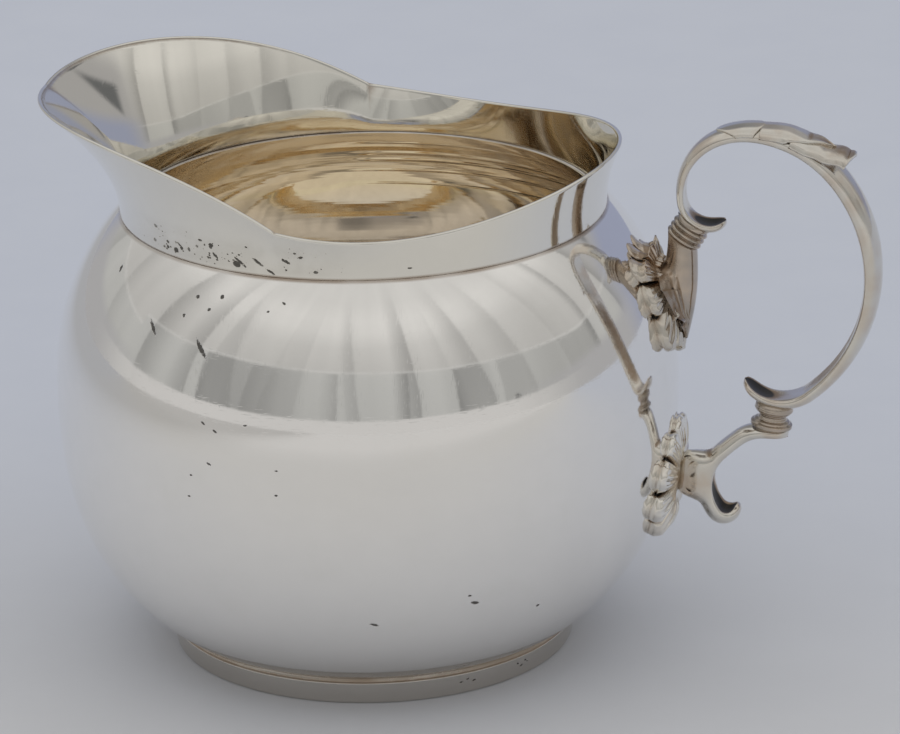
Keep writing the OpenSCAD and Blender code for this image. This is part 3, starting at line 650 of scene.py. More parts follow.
def loop_ring(k):
    u = k / LOOP_LAST
    thick = strap_thick(u)
    taper = end_share(min(gap(loop_path, k, 0), gap(loop_path, k, LOOP_LAST)), strap_half(u))
    return strap_ring(
        loop_path[k], thick * BACK * taper, thick * (1 - BACK) * taper, strap_half(u) * taper,
        thick * taper * along(STRAP_HOLLOW, u),
    )


loop_rings = [loop_ring(k) for k in range(LOOP_LAST + 1)]
make("handle", *loft(loop_rings), casting, ["handle_loop"], "silver_casting")

# Pieces between the scrolls and the mounts
RING_ANGLE, RING_R, RING_H, RING_COUNT, RING_DEPTH, RING_END = -122.0, 2.55, 2.4, 3, 0.2, 0.97
STAND_STEPS, STAND_SIDES, STAND_SINK = 60, 64, 0.5
ring_u = (TIP_ANGLE - RING_ANGLE) / SCROLL_TURN / len(LOOP_ARCS)
scroll_back = SCROLL_R + BACK * strap_thick(ring_u)


def stand_off(x, z, angle, distance):
    """A place at a distance from (x, z) with the heading back to it."""
    return (x + distance * cosd(angle), z + distance * sind(angle), angle + 180)


ring_foot = stand_off(SCROLL_X, SCROLL_Z, RING_ANGLE, scroll_back + RING_H)


def standing(foot, outline):
    """A turned piece that stands on its foot and points along the foot's heading."""
    points, faces = turned([(0.0, 0.0)] + outline + [(0.0, outline[-1][1])], STAND_SIDES)
    h = foot[2]
    out = []
    for px, py, pz in points:
        out.append((foot[0] + px * sind(h) + pz * cosd(h), py, foot[1] - px * cosd(h) + pz * sind(h)))
    return out, faces


def ring_share(k):
    """Share of the full radius: a row of rounded rings."""
    return 1 - RING_DEPTH * (1 - abs(sind(180 * RING_COUNT * k / STAND_STEPS)))


rings = [(RING_R * ring_share(k), RING_H * k / STAND_STEPS) for k in range(STAND_STEPS + 1)]
rings += [(RING_R * RING_END, RING_H + STAND_SINK)]
make("ring_collar_piece", *standing(ring_foot, rings), dark_casting, ["ring_collar"], "silver_casting")

KNUCKLE_ANGLE, KNUCKLE_R, KNUCKLE_H, KNUCKLE_END = -99.0, 2.6, 2.7, 0.96
KNUCKLE_SHARES = [1.08, 1.08, 0.92, 0.75, 0.7, 0.74, 0.92, 1, 0.98]
tail_from = loop_path[LOOP_STEPS * (len(LOOP_ARCS) - 1)]
tail_middle = (tail_from[0] + TAIL_R * sind(tail_from[2]), tail_from[1] - TAIL_R * cosd(tail_from[2]))
tail_u = (len(LOOP_ARCS) - 1 + (tail_from[2] + 450 - KNUCKLE_ANGLE) / TAIL_TURN) / len(LOOP_ARCS)
knuckle_foot = stand_off(*tail_middle, KNUCKLE_ANGLE, TAIL_R + BACK * strap_thick(tail_u) + KNUCKLE_H)
spool = [
    (KNUCKLE_R * along(KNUCKLE_SHARES, k / STAND_STEPS), KNUCKLE_H * k / STAND_STEPS)
    for k in range(STAND_STEPS + 1)
]
spool += [(KNUCKLE_R * KNUCKLE_END, KNUCKLE_H + STAND_SINK)]
make("knuckle_piece", *standing(knuckle_foot, spool), dark_casting, ["lower_knuckle"], "silver_casting")


# Leaf and palmette
def on_bowl(a, z, h):
    """A place at height h over the bowl, at a distance a round it from the handle's plane."""
    r = bowl_r(z)
    turn = a / r
    return ((r + SEAT + h) * math.cos(turn), (r + SEAT + h) * math.sin(turn), z)


EDGE_BULGE, EDGE_STEPS, PLATE_SINK = 0.035, 12, 0.3
# A plate's last stations, at its seat and sunk below it
SKIRT = [(1.0, 1.0, 0.0), (1.01, 1.0, -0.2)]


def groove_shade(s, v):
    """Tarnish and painted shade in the grooves between two lobes."""
    return (0.75 * ease((v - 0.74) / 0.24) + 0.55 * ease((v - 0.9) / 0.08)) * ease((s - 0.4) / 0.3)


def seat_shade(h):
    """Tarnish and painted shade along the foot of a plate's rim, where it meets the bowl."""
    return 0.5 * ease((0.2 - h) / 0.25)


def rim_cut(w, s, h, t, undercut):
    """How far the rim is cut back below the plate's upper lobes."""
    if s < 1.0 or w < 1:
        return 0.0
    return undercut * max(0.0, cosd(t)) ** 2 * sind(180 * max(0.0, h) ** 0.8)


def lobed_plate(middle_z, reach, rise, lobe, undercut=0.0, count=400, rows=40):
    """A lobed relief on the bowl: reach(turn) is its outline and rise(share, turn) its height."""
    # Stations from the middle to the seat: share of the reach, place in the relief, share of the height
    stations = [(k / rows, k / rows, 1.0) for k in range(1, rows + 1)]
    for k in range(1, EDGE_STEPS):
        stations.append((1 + EDGE_BULGE * sind(180 * k / EDGE_STEPS), 1.0, 1 - k / EDGE_STEPS))
    stations += SKIRT
    turns = [360 * i / count for i in range(count)]
    rings = []
    for w, s, h in stations:
        ring = []
        for t in turns:
            far = (w - rim_cut(w, s, h, t, undercut)) * reach(t)
            ring.append(on_bowl(far * sind(t), middle_z + far * cosd(t), h * rise(s, t)))
        rings.append(ring)
    points, faces = loft(rings)
    shade = [groove_shade(s, lobe(t)) + seat_shade(h) for w, s, h in stations for t in turns]
    shade += [0.0, 0.0]
    faces = faces[: (len(rings) - 1) * count]
    top, under = len(points), len(points) + 1
    points += [on_bowl(0, middle_z, rise(0, 0)), on_bowl(0, middle_z, -PLATE_SINK)]
    last = (len(rings) - 1) * count
    faces += [(top, i, (i + 1) % count) for i in range(count)]
    faces += [(under, last + (i + 1) % count, last + i) for i in range(count)]
    return points, faces, shade


PLATE_T = 1.5


def plate_rise(s, v, deep=0.68):
    """Height of a lobed plate at share s of its reach; v is 0 along a lobe's middle, 1 between two."""
    far = ease((s - 0.3) / 0.3)
    swell = 0.26 * (1 - v * v) * ease((s - 0.3) / 0.4)
    rib = 0.12 * math.exp(-((v / 0.15) ** 2)) * far * (1 - ease((s - 0.82) / 0.18))
    lines = 0.05 * cosd(900 * v) * far
    groove = deep * ease((v - 0.7) / 0.28) * far * (0.45 + 0.55 * s)
    return PLATE_T * (1 - 0.3 * s**4 + swell + rib + lines - groove)


LEAF_Z, LEAF_W, LEAF_DROP, LEAF_TOP, LEAF_ROLL, LEAF_LOBES = 52.0, 13.6, 9.7, 5.7, 2.3, 9
LEAF_REACH, LEAF_GROOVE, LEAF_UNDERCUT = [0.95, 1, 0.97, 1.12, 1], 0.5, 0.34


def leaf_lobe(t):
    return abs(sind(LEAF_LOBES * t / 2))


def leaf_reach(t):
    length = LEAF_DROP if cosd(t) < 0 else LEAF_TOP
    plain = math.hypot(sind(t) * LEAF_W / 2, cosd(t) * length)
    folded = 360 - t if t > 180 else t
    return plain * along(LEAF_REACH, folded / 180) * (1 - 0.2 * (1 - leaf_lobe(t)))


def leaf_across(t):
    return abs(2 * ((t * LEAF_LOBES / 360) % 1) - 1)


def leaf_rise(s, t):
    """The plate's height with the inner layer, its lip and the roll of the upper lobes."""
    v = leaf_across(t)
    layer = ease((0.6 - s) / 0.09) * (0.75 + 0.25 * (1 - v))
    lip = 0.16 * math.exp(-(((s - 0.53) / 0.05) ** 2))
    roll = 0.9 * LEAF_ROLL * (s * max(0.0, cosd(t))) ** 2.1 * (0.86 + 0.14 * (1 - v))
    return plate_rise(s, v, LEAF_GROOVE) + roll + PLATE_T * (0.36 * layer + lip)


points, faces, shade = lobed_plate(LEAF_Z, leaf_reach, leaf_rise, leaf_across, LEAF_UNDERCUT)
make("leaf", points, faces, dull_casting, ["upper_leaf"], "silver_casting", shade)

PALMETTE_Z, PALMETTE_W, PALMETTE_H, PALMETTE_LEAN, PALMETTE_LOBES = 24.2, 18.4, 16.2, 0.4, 10


def palmette_lobe(t):
    return abs(cosd(PALMETTE_LOBES * t / 2))


def palmette_reach(t):
    oval = math.hypot(2 * sind(t) / PALMETTE_W, 2 * cosd(t) / PALMETTE_H)
    return (1 - 0.16 * (1 - palmette_lobe(t))) / oval


def palmette_across(t):
    return abs(2 * ((t * PALMETTE_LOBES / 360 + 0.5) % 1) - 1)


def palmette_rise(s, t):
    return plate_rise(s, palmette_across(t)) * (1 - PALMETTE_LEAN * s * cosd(t))


points, faces, shade = lobed_plate(PALMETTE_Z, palmette_reach, palmette_rise, palmette_across)
make("palmette", points, faces, lit_palmette_casting, ["lower_palmette"], "silver_casting", shade)

# Upper bracket: a horn from the leaf to the ringed collar
BRACKET_LOW_Z = LEAF_Z - 0.84 * LEAF_DROP
HORN_FREE, HORN_END, HORN_SIDES, HORN_STEPS = 0.66, 0.9, 96, 90
HORN_BACK_SINK, HORN_FRONT_RISE, HORN_BOW, HORN_FLARE = 0.15, 0.1, 0.55, 1.25
BRACKET_HALF = [0.2, 0.5, 0.75, 0.9, 0.94, 0.9, 0.88]


def leaf_face_x(z):
    t = 180 if z < LEAF_Z else 0
    return bowl_r(z) + 2 * SEAT + leaf_rise(abs(z - LEAF_Z) / leaf_reach(t), t)


def palmette_face_x(z):
    return bowl_r(z) + 2 * SEAT + PLATE_T * (1 - PALMETTE_LEAN * (z - PALMETTE_Z) / (PALMETTE_H / 2))


def horn_back(u):
    """The line along the horn's back: up the leaf, then out to the rings."""
    end = off_path(ring_foot, RING_R * HORN_END, 0)
    v = max(0.0, (u - HORN_FREE) / (1 - HORN_FREE))
    z = mix(BRACKET_LOW_Z, end[2], min(u, HORN_FREE))
    x = leaf_face_x(z) - HORN_BACK_SINK
    if v > 0:
        return (mix(x, end[0], sind(90 * v)), mix(z, end[2], 1 - cosd(90 * v) ** 0.9))
    return (x, z)


def horn_front(u):
    end = off_path(ring_foot, -RING_R * HORN_END, 0)
    low_x = leaf_face_x(BRACKET_LOW_Z) + HORN_FRONT_RISE
    return (mix(low_x, end[0], u) + HORN_BOW * sind(180 * u), mix(BRACKET_LOW_Z, end[2], u))


def horn_share(k):
    """How far side k of a section lies from the back (0) to the front (1)."""
    return (1 - cosd(360 * (k + 0.5) / HORN_SIDES)) / 2


def bracket_ring(u):
    """Section of the horn: a ridge with hollow flanks on the leaf, blended to a round one near the rings."""
    back, front = horn_back(u), horn_front(u)
    half_w = RING_R * along(BRACKET_HALF, u)
    free = ease((u - HORN_FREE + 0.12) / 0.3)
    flare = HORN_FLARE * (1 - free) * (0.25 + 0.75 * ease(u / 0.3))
    ring = []
    for k in range(HORN_SIDES):
        turn = 360 * (k + 0.5) / HORN_SIDES
        share = horn_share(k)
        ridge = math.sqrt(max(0.0, 1 - max(0.0, (share - 0.35) / 0.65) ** 2))
        ridge += flare * max(0.0, 1 - share / 0.7) ** 2.2
        wide = mix(ridge, abs(sind(turn)), free)
        lines = 0.035 * cosd(1800 * share) * sind(180 * min(1.0, share / 0.75)) * (1 - free)
        y = (1 if turn <= 180 else -1) * half_w * (wide + lines)
        ring.append((mix(back[0], front[0], share), y, mix(back[1], front[1], share)))
    return ring


points, faces = loft([bracket_ring(k / HORN_STEPS) for k in range(HORN_STEPS + 1)])
# Darker on the flanks towards the back, and the front ridge is left bright
shade = [0.5 * ease((0.85 - horn_share(k)) / 0.6) for k in range(HORN_SIDES)] * (HORN_STEPS + 1)
make("horn", points, faces, dark_casting, ["upper_bracket"], "silver_casting", shade)

# Thumb leaf
LEAF_START, LEAF_END = 1.83, 3.76
LOBE_RISE = [0.06, 0.08, 0.08, 0.08, 0.12, 0.4, 1]
THUMB_RISE, THUMB_SHEET, THUMB_LEAN, THUMB_SPAN, THUMB_SINK = 2.2, 0.42, 68.0, 1.04, 0.12
THUMB_SIDES, LAYER_STEPS, TIP_STEPS = 28, 40, 20
THUMB_GAP, TIP_AHEAD, TIP_OVER, TIP_DROP = 0.03, 1.05, 0.12, 0.2
# Layers of the leaf: start, end, share of the width at the start, place where it begins to narrow
# (past 1 for the last layer, which has a tip instead), lift of the edges at the end, and how far the
# layer's end lies over the next one
THUMB_LAYERS = [
    (0.0, 0.37, 0.15, 0.72, 0.0, 0.10),
    (0.33, 0.90, 0.98, 0.40, 0.30, 0.28),
    (0.62, 1.0, 0.98, 2.0, 0.30, 0.0),
]


def loop_at(arc):
    """State of the loop's path at a number of arcs from its start."""
    v = arc * LOOP_STEPS
    i = min(int(v), LOOP_LAST - 1)
    return tuple(mix(a, b, v - i) for a, b in zip(loop_path[i], loop_path[i + 1]))


def thumb_sheet(u):
    return THUMB_SHEET * mix(0.45, 1, ease((u - 0.3) / 0.4))


def thumb_raise(u):
    return max(0.0, THUMB_RISE * along(LOBE_RISE, u) - thumb_sheet(u))


def thumb_half(u):
    """Half the width of the leaf where it is full."""
    return THUMB_SPAN * strap_half(mix(LEAF_START, LEAF_END, u) / len(LOOP_ARCS))


def thumb_ring(u, half, lift, over, ahead=0.0):
    """One ring of a thin layer that lies on the strap's back; lift raises the layer's edges."""
    arc = mix(LEAF_START, LEAF_END, u)
    at = loop_at(arc)
    strap_back = strap_thick(arc / len(LOOP_ARCS)) * BACK
    strap_w = strap_half(arc / len(LOOP_ARCS))
    crest = off_path(at, strap_back + THUMB_GAP, 0)
    lean = max(at[2] + 450, THUMB_LEAN)
    top, under = [], []
    for k in range(THUMB_SIDES + 1):
        across = cosd(180 * k / THUMB_SIDES)
        y = half * across
        inside = min(1.0, abs(y) / (strap_w + 0.05))
        low = strap_back * 0.9 * (math.sqrt(1 - inside * inside) - 1)
        low += thumb_raise(u) + over + lift * abs(across) ** 2.5
        rim = math.sqrt(max(0.0, 1 - abs(across) ** 6))
        high = low + thumb_sheet(u) * (0.35 + 0.65 * rim) * min(1.0, half / 0.5)
        for out, n in ((top, high), (under, low - THUMB_SINK)):
            x = crest[0] + n * cosd(lean) + ahead * sind(lean)
            out.append((x, y, crest[2] + n * sind(lean) - ahead * cosd(lean) * TIP_DROP))
    return top + under[::-1]


def thumb_layer(start, end, open_share, narrow, lift, over):
    """Rings of one layer, and the strength of the painted shade on each."""
    rings, painted_shade = [], []
    for k in range(LAYER_STEPS + 1):
        v = k / LAYER_STEPS
        u = mix(start, end, v)
        half = thumb_half(u) * mix(open_share, 1, sind(90 * min(1.0, v / 0.3)))
        if v > narrow:
            half *= max(0.06, 1 - ((v - narrow) / (1 - narrow)) ** 1.5)
        rings.append(thumb_ring(u, half, lift * ease((v - 0.35) / 0.5), over * ease(v / 0.5)))
        painted_shade.append(0.75 * ease((v - 0.45) / 0.4) * ease(start / 0.1))
    return rings, painted_shade


def thumb_tip(lift):
    """Rings of the leaf's free tip, and the strength of the painted shade on each."""
    rings, painted_shade = [], []
    for k in range(1, TIP_STEPS + 1):
        v = k / TIP_STEPS
        half = thumb_half(1.0) * max(0.05, 1 - v**1.3)
        rings.append(thumb_ring(1.0, half, lift * (1 - v), TIP_OVER * v * v, TIP_AHEAD * v))
        painted_shade.append(0.75 * (1 - ease((v - 0.5) / 0.5)))
    return rings, painted_shade


def thumb_mesh():
    all_points, all_faces, all_shade = [], [], []
    # Painted shade lies in the hollow of a layer's end; the edges are left out of it and stay bright
    hollow = [max(0.0, 1 - abs(cosd(180 * k / THUMB_SIDES)) ** 3) for k in range(THUMB_SIDES + 1)]
    for start, end, open_share, narrow, lift, over in THUMB_LAYERS:
        rings, painted_shade = thumb_layer(start, end, open_share, narrow, lift, over)
        if narrow > 1:
            tip_rings, tip_painted_shade = thumb_tip(lift)
            rings += tip_rings
            painted_shade += tip_painted_shade
        points, faces = loft(rings)
        all_faces += [tuple(i + len(all_points) for i in face) for face in faces]
        all_points += points
        all_shade += [tone * part for tone in painted_shade for part in hollow + [0.0] * len(hollow)]
    return all_points, all_faces, all_shade


points, faces, shade = thumb_mesh()
make("thumb", points, faces, casting, ["thumb_leaf"], "silver_casting", shade)

# Lower bracket: C-scroll with its own free scroll
BRANCH_R, SPUR_R, BRANCH_W, BRANCH_T, BRANCH_BACK = 6.1, 1.5, 5.0, 2.2, 0.55
BRANCH_ARCS = [
    (BRANCH_R * 3.3, 9.0), (BRANCH_R * 0.89, 38.0), (BRANCH_R * 4.55, 7.0), (BRANCH_R, 82.0), (SPUR_R, 138.0),
]
BRANCH_STEPS, BRANCH_START, ROOT_SINK = 26, 0.95, 0.3
BRANCH_T_SHARES = [0.55, 0.8, 1, 1.05, 1.35, 0.9]
BRANCH_W_SHARES = [1, 0.85, 0.75, 0.8, 1, 0.95]
BRANCH_HOLLOW = [0, 0.05, 0.1, 0.15, 0.34, 0.4]
BRANCH_ROUND = [0.4, 0.8, 1, 1, 1, 1]
ROOT_HEADING, ROOT_FULL, ROOT_FADE = 262.0, 13.0, 34.0
heading = knuckle_foot[2] + 90
under = BRANCH_T * BRANCH_T_SHARES[0] * BRANCH_BACK + SEAT
middle = off_path((knuckle_foot[0], knuckle_foot[1], heading), under, 0)
start_back = KNUCKLE_R * BRANCH_START
branch_path = arc_path(
    (middle[0] - start_back * cosd(heading), middle[2] - start_back * sind(heading), heading),
    BRANCH_ARCS, BRANCH_STEPS,
)
BRANCH_LAST = len(branch_path) - 1


def root_reach(state):
    """How far the palmette's face lies behind the path."""
    dx, dz = sind(state[2]), -cosd(state[2])
    first = (palmette_face_x(state[1]) - state[0]) / dx
    return (palmette_face_x(state[1] + dz * first) - state[0]) / dx


def branch_ring(k):
    state, u = branch_path[k], k / BRANCH_LAST
    thick = BRANCH_T * along(BRANCH_T_SHARES, u)
    half_w = BRANCH_W / 2 * along(BRANCH_W_SHARES, u)
    taper = end_share(gap(branch_path, k, BRANCH_LAST), half_w)
    nose = end_share(gap(branch_path, k, 0), half_w)
    root = 1 - ease((abs(state[2] - ROOT_HEADING) - ROOT_FULL) / (ROOT_FADE - ROOT_FULL))
    back = thick * BRANCH_BACK * taper
    if root > 0:
        back += root * root * (root_reach(state) + ROOT_SINK - back)
    return strap_ring(
        state, back, thick * (1 - BRANCH_BACK) * taper, half_w * taper * nose,
        thick * taper * along(BRANCH_HOLLOW, u), -1, along(BRANCH_ROUND, u),
    )


branch_rings = [branch_ring(k) for k in range(BRANCH_LAST + 1)]
make("branch", *loft(branch_rings), casting, ["lower_bracket"], "silver_casting")


# Crevices: how hollow each place is, and how near the next piece, which the metals darken with tarnish and
# painted shade
CAST_PIECES = ("handle", "ring_collar_piece", "knuckle_piece", "leaf", "palmette", "horn", "thumb", "branch")
SCROLLS = {"handle": (loop_path, LOOP_LAST), "branch": (branch_path, BRANCH_LAST)}
SCROLL_DARK = 6.5
# In metres: depth of a full crevice, reach of the shade beside the next piece, and how far it is sought
FULL_DEPTH_M, NEAR_REACH_M, SEEK_M = 0.00006, 0.00032, 0.001
HOLLOW_SHADE, NEAR_SHADE, CREVICE_TOP = 0.75, 0.4, 1.4


def hollow_share(co, path, last):
    """Shade of the hollow inner face of a scroll's free ends."""
    share = np.zeros(len(co))
    for i in range(len(co)):
        ring, k = divmod(i, STRAP_SIDES)
        inner = 1.35 * max(0.0, -sind(360 * k / STRAP_SIDES)) ** 1.2 if ring <= last else 0.0
        ring = min(ring, last)
        reach = max(SCROLL_DARK - gap(path, ring, 0), SCROLL_DARK - gap(path, ring, last))
        share[i] = inner * ease(reach / SCROLL_DARK * 1.6)
    return share


def rows_of(items, name, width, kind=float):
    """One value of all items of a mesh, as an array with a row for each item."""
    values = np.zeros(len(items) * width, kind)
    items.foreach_get(name, values)
    return values.reshape(-1, width)


def tree_of(co):
    tree = kdtree.KDTree(len(co))
    for i, p in enumerate(co):
        tree.insert(p, i)
    tree.balance()
    return tree


def smoothed(co, edges, rounds=6):
    """The places of the vertices after they have moved to the mean of their neighbours."""
    smooth = co.copy()
    degree = np.maximum(np.bincount(edges.ravel(), minlength=len(co)), 1)[:, None]
    for _ in range(rounds):
        total = np.zeros_like(smooth)
        np.add.at(total, edges[:, 0], smooth[edges[:, 1]])
        np.add.at(total, edges[:, 1], smooth[edges[:, 0]])
        smooth = total / degree
    return smooth


def nearness(name, places, trees):
    """1 where a cast piece touches the next one, and less away from it."""
    co = places[name]
    near = np.zeros(len(co))
    if name not in CAST_PIECES:
        return near
    for other in CAST_PIECES:
        if other == name:
            continue
        low, high = places[other].min(0) - SEEK_M, places[other].max(0) + SEEK_M
        for i in np.where(((co > low) & (co < high)).all(1))[0]:
            away = trees[other].find(co[i])[2] / NEAR_REACH_M
            near[i] = max(near[i], math.exp(-(away**2)))
    return near


def crevices():
    places = {name: rows_of(piece.data.vertices, "co", 3) for name, piece in PIECES.items()}
    trees = {name: tree_of(co) for name, co in places.items()}
    for name, piece in PIECES.items():
        mesh, co = piece.data, places[name]
        normals = rows_of(mesh.vertices, "normal", 3)
        edges = rows_of(mesh.edges, "vertices", 2, np.int64)
        shade = rows_of(mesh.attributes["shade"].data, "value", 1)[:, 0]
        hollow = ((smoothed(co, edges) - co) * normals).sum(1) / FULL_DEPTH_M
        near = nearness(name, places, trees)
        inner = hollow_share(co, *SCROLLS[name]) if name in SCROLLS else 0.0
        value = np.clip(hollow, 0, 1) * HOLLOW_SHADE + near * NEAR_SHADE + inner + shade
        attribute = mesh.attributes.new("crevice", "FLOAT", "POINT")
        attribute.data.foreach_set("value", np.clip(value, 0, CREVICE_TOP).astype(np.float32))


crevices()

# Floor, painted lighter in front and far off and darker to the left: painted light and shade
FLOOR_RINGS, FLOOR_SIDES, FLOOR_DROP = (0.0, 200.0, 800.0, 1600.0), 96, 0.02
FLOOR_BACK, FLOOR_PALE = (0.44, 0.463, 0.525), (0.9, 0.9, 0.9)
FLOOR_FRONT_LIT, FLOOR_FAR_LIT, FLOOR_LEFT_SHADE = (0.515, 0.508, 0.498), (0.585, 0.575, 0.565), (0.32, 0.312, 0.30)
FRONT_SPAN, FAR_SPAN, LEFT_SPAN = (120.0, -160.0), (-150.0, -350.0), (-100.0, -350.0)


def floor_card():
    material, tree = nodes_of("floor_card")
    g = Graph(tree)
    where = g.place()
    x, y = g.apart(where)[:2]
    # Painted light: lighter in front and far off; painted shade: darker to the left
    tone = g.blend(g.fade_mm(y, FRONT_SPAN), FLOOR_BACK, FLOOR_FRONT_LIT)
    tone = g.blend(g.mul(g.noise(where, 60.0, 3.0, 0.6), 0.06), tone, FLOOR_PALE)
    tone = g.blend(g.fade_mm(y, FAR_SPAN), tone, FLOOR_FAR_LIT)
    tone = g.blend(g.mul(g.fade_mm(x, LEFT_SPAN), 0.55), tone, FLOOR_LEFT_SHADE)
    g.surface(Base_Color=tone, Roughness=0.9, Specular_IOR_Level=0.1)
    return material


def make_floor():
    mesh = bpy.data.meshes.new("floor")
    points, faces = turned([(r, 0.0) for r in FLOOR_RINGS], FLOOR_SIDES)
    mesh.from_pydata([Vector(p) * MM for p in points], [], faces)
    floor = bpy.data.objects.new("floor", mesh)
    bpy.context.scene.collection.objects.link(floor)
    floor.location.z = -FLOOR_DROP * MM
    mesh.materials.append(floor_card())


make_floor()

# Light: a white tent with soft folds, bright overhead
# Folds of the tent's cloth: direction of the sharp edge, width of the shade (negative: towards the
# smaller directions), depth, slant, and whether the fold ends at the tent's seam
FOLDS = [
    (-176, 14, 0.30, 4, False), (-150.5, -9, 0.30, 3, False), (-145, 48, 0.36, 0, True),
    (-145, 9, 0.12, 5, False), (-130, -10, 0.14, -6, False), (-127, 24, 0.20, 4, True),
    (-121, 9, 0.08, 8, False), (-107, -9, 0.10, 5, False), (-90.5, -7, 0.26, 0, True),
    (-82, -6, 0.20, -4, False), (-87, 9, 0.05, -3, False), (-64.5, -6, 0.30, 1, True),
    (-60, -8, 0.34, -2, False), (-46, 16, 0.42, 0, True), (-31, -9, 0.26, -7, False),
    (-28, 10, 0.20, 0, True), (19, -46, 0.24, 0, True), (-14, -12, 0.18, -6, False),
    (19.5, -4, 0.32, -2, False), (2, 14, 0.12, -5, False), (-44, -8, 0.08, -5, False),
    (38, 7, 0.40, -5, False), (137, -8, 0.2, 8, False), (160, 9, 0.16, -5, False),
]
# Brightness of the cloth from the floor (0) to overhead (1), and its warm white
CLOTH_STOPS = [
    (0.0, 0.45), (0.07, 0.455), (0.22, 0.475), (0.3, 0.495), (0.41, 0.55), (0.49, 0.65), (0.555, 0.67),
    (0.645, 0.62), (0.74, 0.61), (0.84, 0.57), (1.0, 0.62),
]
WARM_GREEN, WARM_BLUE = 0.985, 0.955
# The seam runs in a bow: its top height, the direction of the top, how it bends, and its lowest height
SEAM_TOP, SEAM_TURN, SEAM_BEND, SEAM_LOW, SEAM_SOFT = 26.0, 95.0, 0.028, 17.0, (0.0, 1.2)
FOLD_END, FOLD_EDGE, THREAD_SPAN = (66.0, 40.0), (-0.4, 0.5), (0.8, 0.1)
WHITE, LOW_WHITE, THREAD = (1.0, 1.0, 1.0), (0.97, 0.985, 0.99), (0.62, 0.62, 0.61)
# Zones of the tent from the first laid on to the last: colour, strength, and for each measure that the
# zone fades with, where it begins and where it is full
ZONES = [
    ((0.36, 0.355, 0.36), 0.9, (("behind", 50.0, 38.0), ("height", 54.0, 38.0))),
    ((0.21, 0.21, 0.215), 0.85, (
        ("behind", 50.0, 38.0), ("height", 54.0, 38.0), ("turn", 84.0, 106.0), ("turn", 144.0, 112.0),
    )),
    ((0.09, 0.095, 0.10), 0.85, (("height", 36.5, 33.5), ("right", 50.0, 53.5), ("left", 0.0, 5.0))),
    ((0.385, 0.382, 0.39), 1.0, (("behind", 112.0, 70.0), ("height", 9.0, 5.0))),
    ((0.30, 0.325, 0.43), 1.0, (("behind", 50.0, 30.0), ("height", 24.0, 16.0))),
    ((0.08, 0.08, 0.08), 0.8, (("spot", 2.4, 0.8),)),
    ((0.57, 0.56, 0.55), 1.0, (("height", 4.4, 3.8), ("behind", 70.0, 112.0))),
]
BEHIND_TURN, CORNER_TURN, SPOT_TURN, SPOT_HEIGHT = 84.0, 26.0, 23.0, 4.6
SEEN_BACKGROUND = (0.45, 0.47, 0.52)


def cloth_ramp(g, height):
    """Colour of the smooth cloth at each height."""
    ramp = g.add("ShaderNodeValToRGB")
    g.put(ramp.inputs[0], g.spread(height, 0.0, 90.0))
    elements = ramp.color_ramp.elements
    while len(elements) < len(CLOTH_STOPS):
        elements.new(0.5)
    for element, (share, value) in zip(elements, CLOTH_STOPS):
        element.position = share
        element.color = (value, value * WARM_GREEN, value * WARM_BLUE, 1)
    return ramp.outputs[0]


def folds(g, way, turn, height, under):
    """Share of the light that the folds leave; under is 1 below the seam."""
    wave = g.mul(g.plus(g.noise(way, 4.0, 2.0, 0.5), -0.5), 2.5)
    high = g.fade(height, FOLD_END)
    light = 1.0
    for direction, width, depth, slant, low in FOLDS:
        line = g.plus(g.mul(g.plus(height, -4.0), slant / 40.0), float(direction))
        past = g.mul(g.less(g.plus(turn, g.mul(wave, 0.6)), line), 1 if width > 0 else -1)
        fold = g.mul(g.fade(past, FOLD_EDGE), g.spread(past, 0.3, float(abs(width)), 1.0, 0.0))
        fold = g.mul(g.mul(fold, depth), under if low else high)
        light = g.mul(light, g.less(1.0, fold))
    broad = g.noise(g.mul(turn, 0.022), 3.0, 2.0, 0.5, dims="1D")
    return g.mul(light, g.spread(broad, 0.3, 0.7, 0.95, 1.05))


def tent_cloth(g, way, turn, height):
    """The folded cloth with its seam and thread."""
    seam = g.less(SEAM_TOP, g.math("POWER", g.mul(g.plus(turn, SEAM_TURN), SEAM_BEND), 2.0))
    seam = g.most(seam, SEAM_LOW)
    under = g.fade(g.less(seam, height), SEAM_SOFT)
    light = folds(g, way, turn, height, under)
    cloth = g.blend(1.0, cloth_ramp(g, height), g.grey(light), "MULTIPLY")
    cloth = g.blend(1.0, cloth, g.blend(under, WHITE, LOW_WHITE), "MULTIPLY")
    return g.blend(g.mul(g.fade(g.size(g.less(seam, height)), THREAD_SPAN), 0.35), cloth, THREAD)


def tent_zones(g, cloth, turn, height):
    """Lays the zones over the cloth: the shade behind the jug and its darkest side, the three-sided
    corner that the lip mirrors, the low sides, the blue-grey sweep, the camera's lens and the card."""
    aside, above = g.plus(turn, SPOT_TURN), g.plus(height, -SPOT_HEIGHT)
    measures = {
        "turn": turn,
        "height": height,
        "behind": g.size(g.math("WRAP", g.plus(turn, -BEHIND_TURN), 180.0, -180.0)),
        "right": g.plus(turn, g.mul(height, 0.15)),
        "left": g.less(g.mul(height, 1.1), g.plus(turn, -CORNER_TURN)),
        "spot": g.plus(g.mul(aside, aside), g.mul(above, above)),
    }
    for colour, strength, fades in ZONES:
        share = strength
        for measure, first, last in fades:
            share = g.mul(share, g.fade(measures[measure], (first, last)))
        cloth = g.blend(share, cloth, colour)
    return cloth


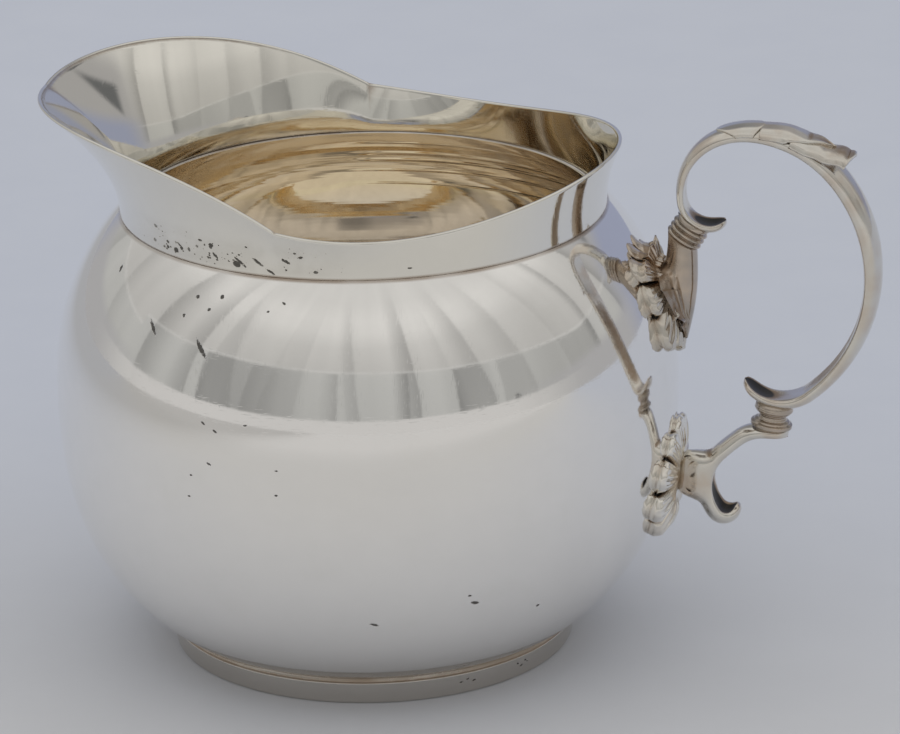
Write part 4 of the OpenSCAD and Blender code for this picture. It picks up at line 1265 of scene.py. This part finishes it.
def make_world():
    world = bpy.data.worlds.new("light_tent")
    bpy.context.scene.world = world
    world.use_nodes = True
    tree = world.node_tree
    tree.nodes.clear()
    g = Graph(tree)
    way = g.add("ShaderNodeTexCoord").outputs["Generated"]
    x, y, z = g.apart(way)
    turn = g.turn(x, y)
    height = g.mul(g.math("ARCSINE", z), 180 / math.pi)
    cloth = tent_zones(g, tent_cloth(g, way, turn, height), turn, height)
    # The metal mirrors the cloth; what isn't metal gets an even light from overhead
    path = g.add("ShaderNodeLightPath").outputs
    mirror = g.most(path["Is Glossy Ray"], path["Is Transmission Ray"])
    overhead = g.plus(0.7, g.mul(g.most(z, 0.0), 0.45))
    colour = g.blend(mirror, g.grey(overhead), cloth)
    colour = g.blend(path["Is Camera Ray"], colour, SEEN_BACKGROUND)
    back = g.add("ShaderNodeBackground", Strength=1.0, Color=colour)
    out = g.add("ShaderNodeOutputWorld")
    tree.links.new(back.outputs[0], out.inputs[0])


make_world()
bpy.context.scene.cycles.glossy_bounces = 16
bpy.context.scene.cycles.max_bounces = 18

# Camera at the photograph's angle, in degrees and metres
AZIMUTH, ELEVATION, ROLL = 10.2, 19.7, -1.21
DISTANCE, ASIDE, AIM_Z, CLIP_NEAR, CLIP_FAR = 0.756, 0.01109, 0.03755, 0.05, 20.0
FOCAL_PIXELS, PHOTO_PIXELS, SENSOR_MM = 5589, 900, 36.0


def make_camera():
    azimuth, elevation, roll = math.radians(AZIMUTH), math.radians(ELEVATION), math.radians(ROLL)
    right = Vector((math.cos(azimuth), math.sin(azimuth), 0))
    level = math.cos(elevation)
    back = Vector((math.sin(azimuth) * level, -math.cos(azimuth) * level, math.sin(elevation)))
    up = back.cross(right)
    across = math.cos(roll) * right + math.sin(roll) * up
    upward = -math.sin(roll) * right + math.cos(roll) * up
    data = bpy.data.cameras.new("camera")
    data.sensor_width = SENSOR_MM
    data.lens = FOCAL_PIXELS / PHOTO_PIXELS * SENSOR_MM
    data.clip_start, data.clip_end = CLIP_NEAR, CLIP_FAR
    camera = bpy.data.objects.new("camera", data)
    bpy.context.scene.collection.objects.link(camera)
    place = back * DISTANCE + right * ASIDE + Vector((0, 0, AIM_Z))
    camera.matrix_world = Matrix((
        (across.x, upward.x, back.x, place.x),
        (across.y, upward.y, back.y, place.y),
        (across.z, upward.z, back.z, place.z),
        (0, 0, 0, 1),
    ))
    bpy.context.scene.camera = camera


make_camera()
bpy.context.scene.view_settings.view_transform = "Standard"
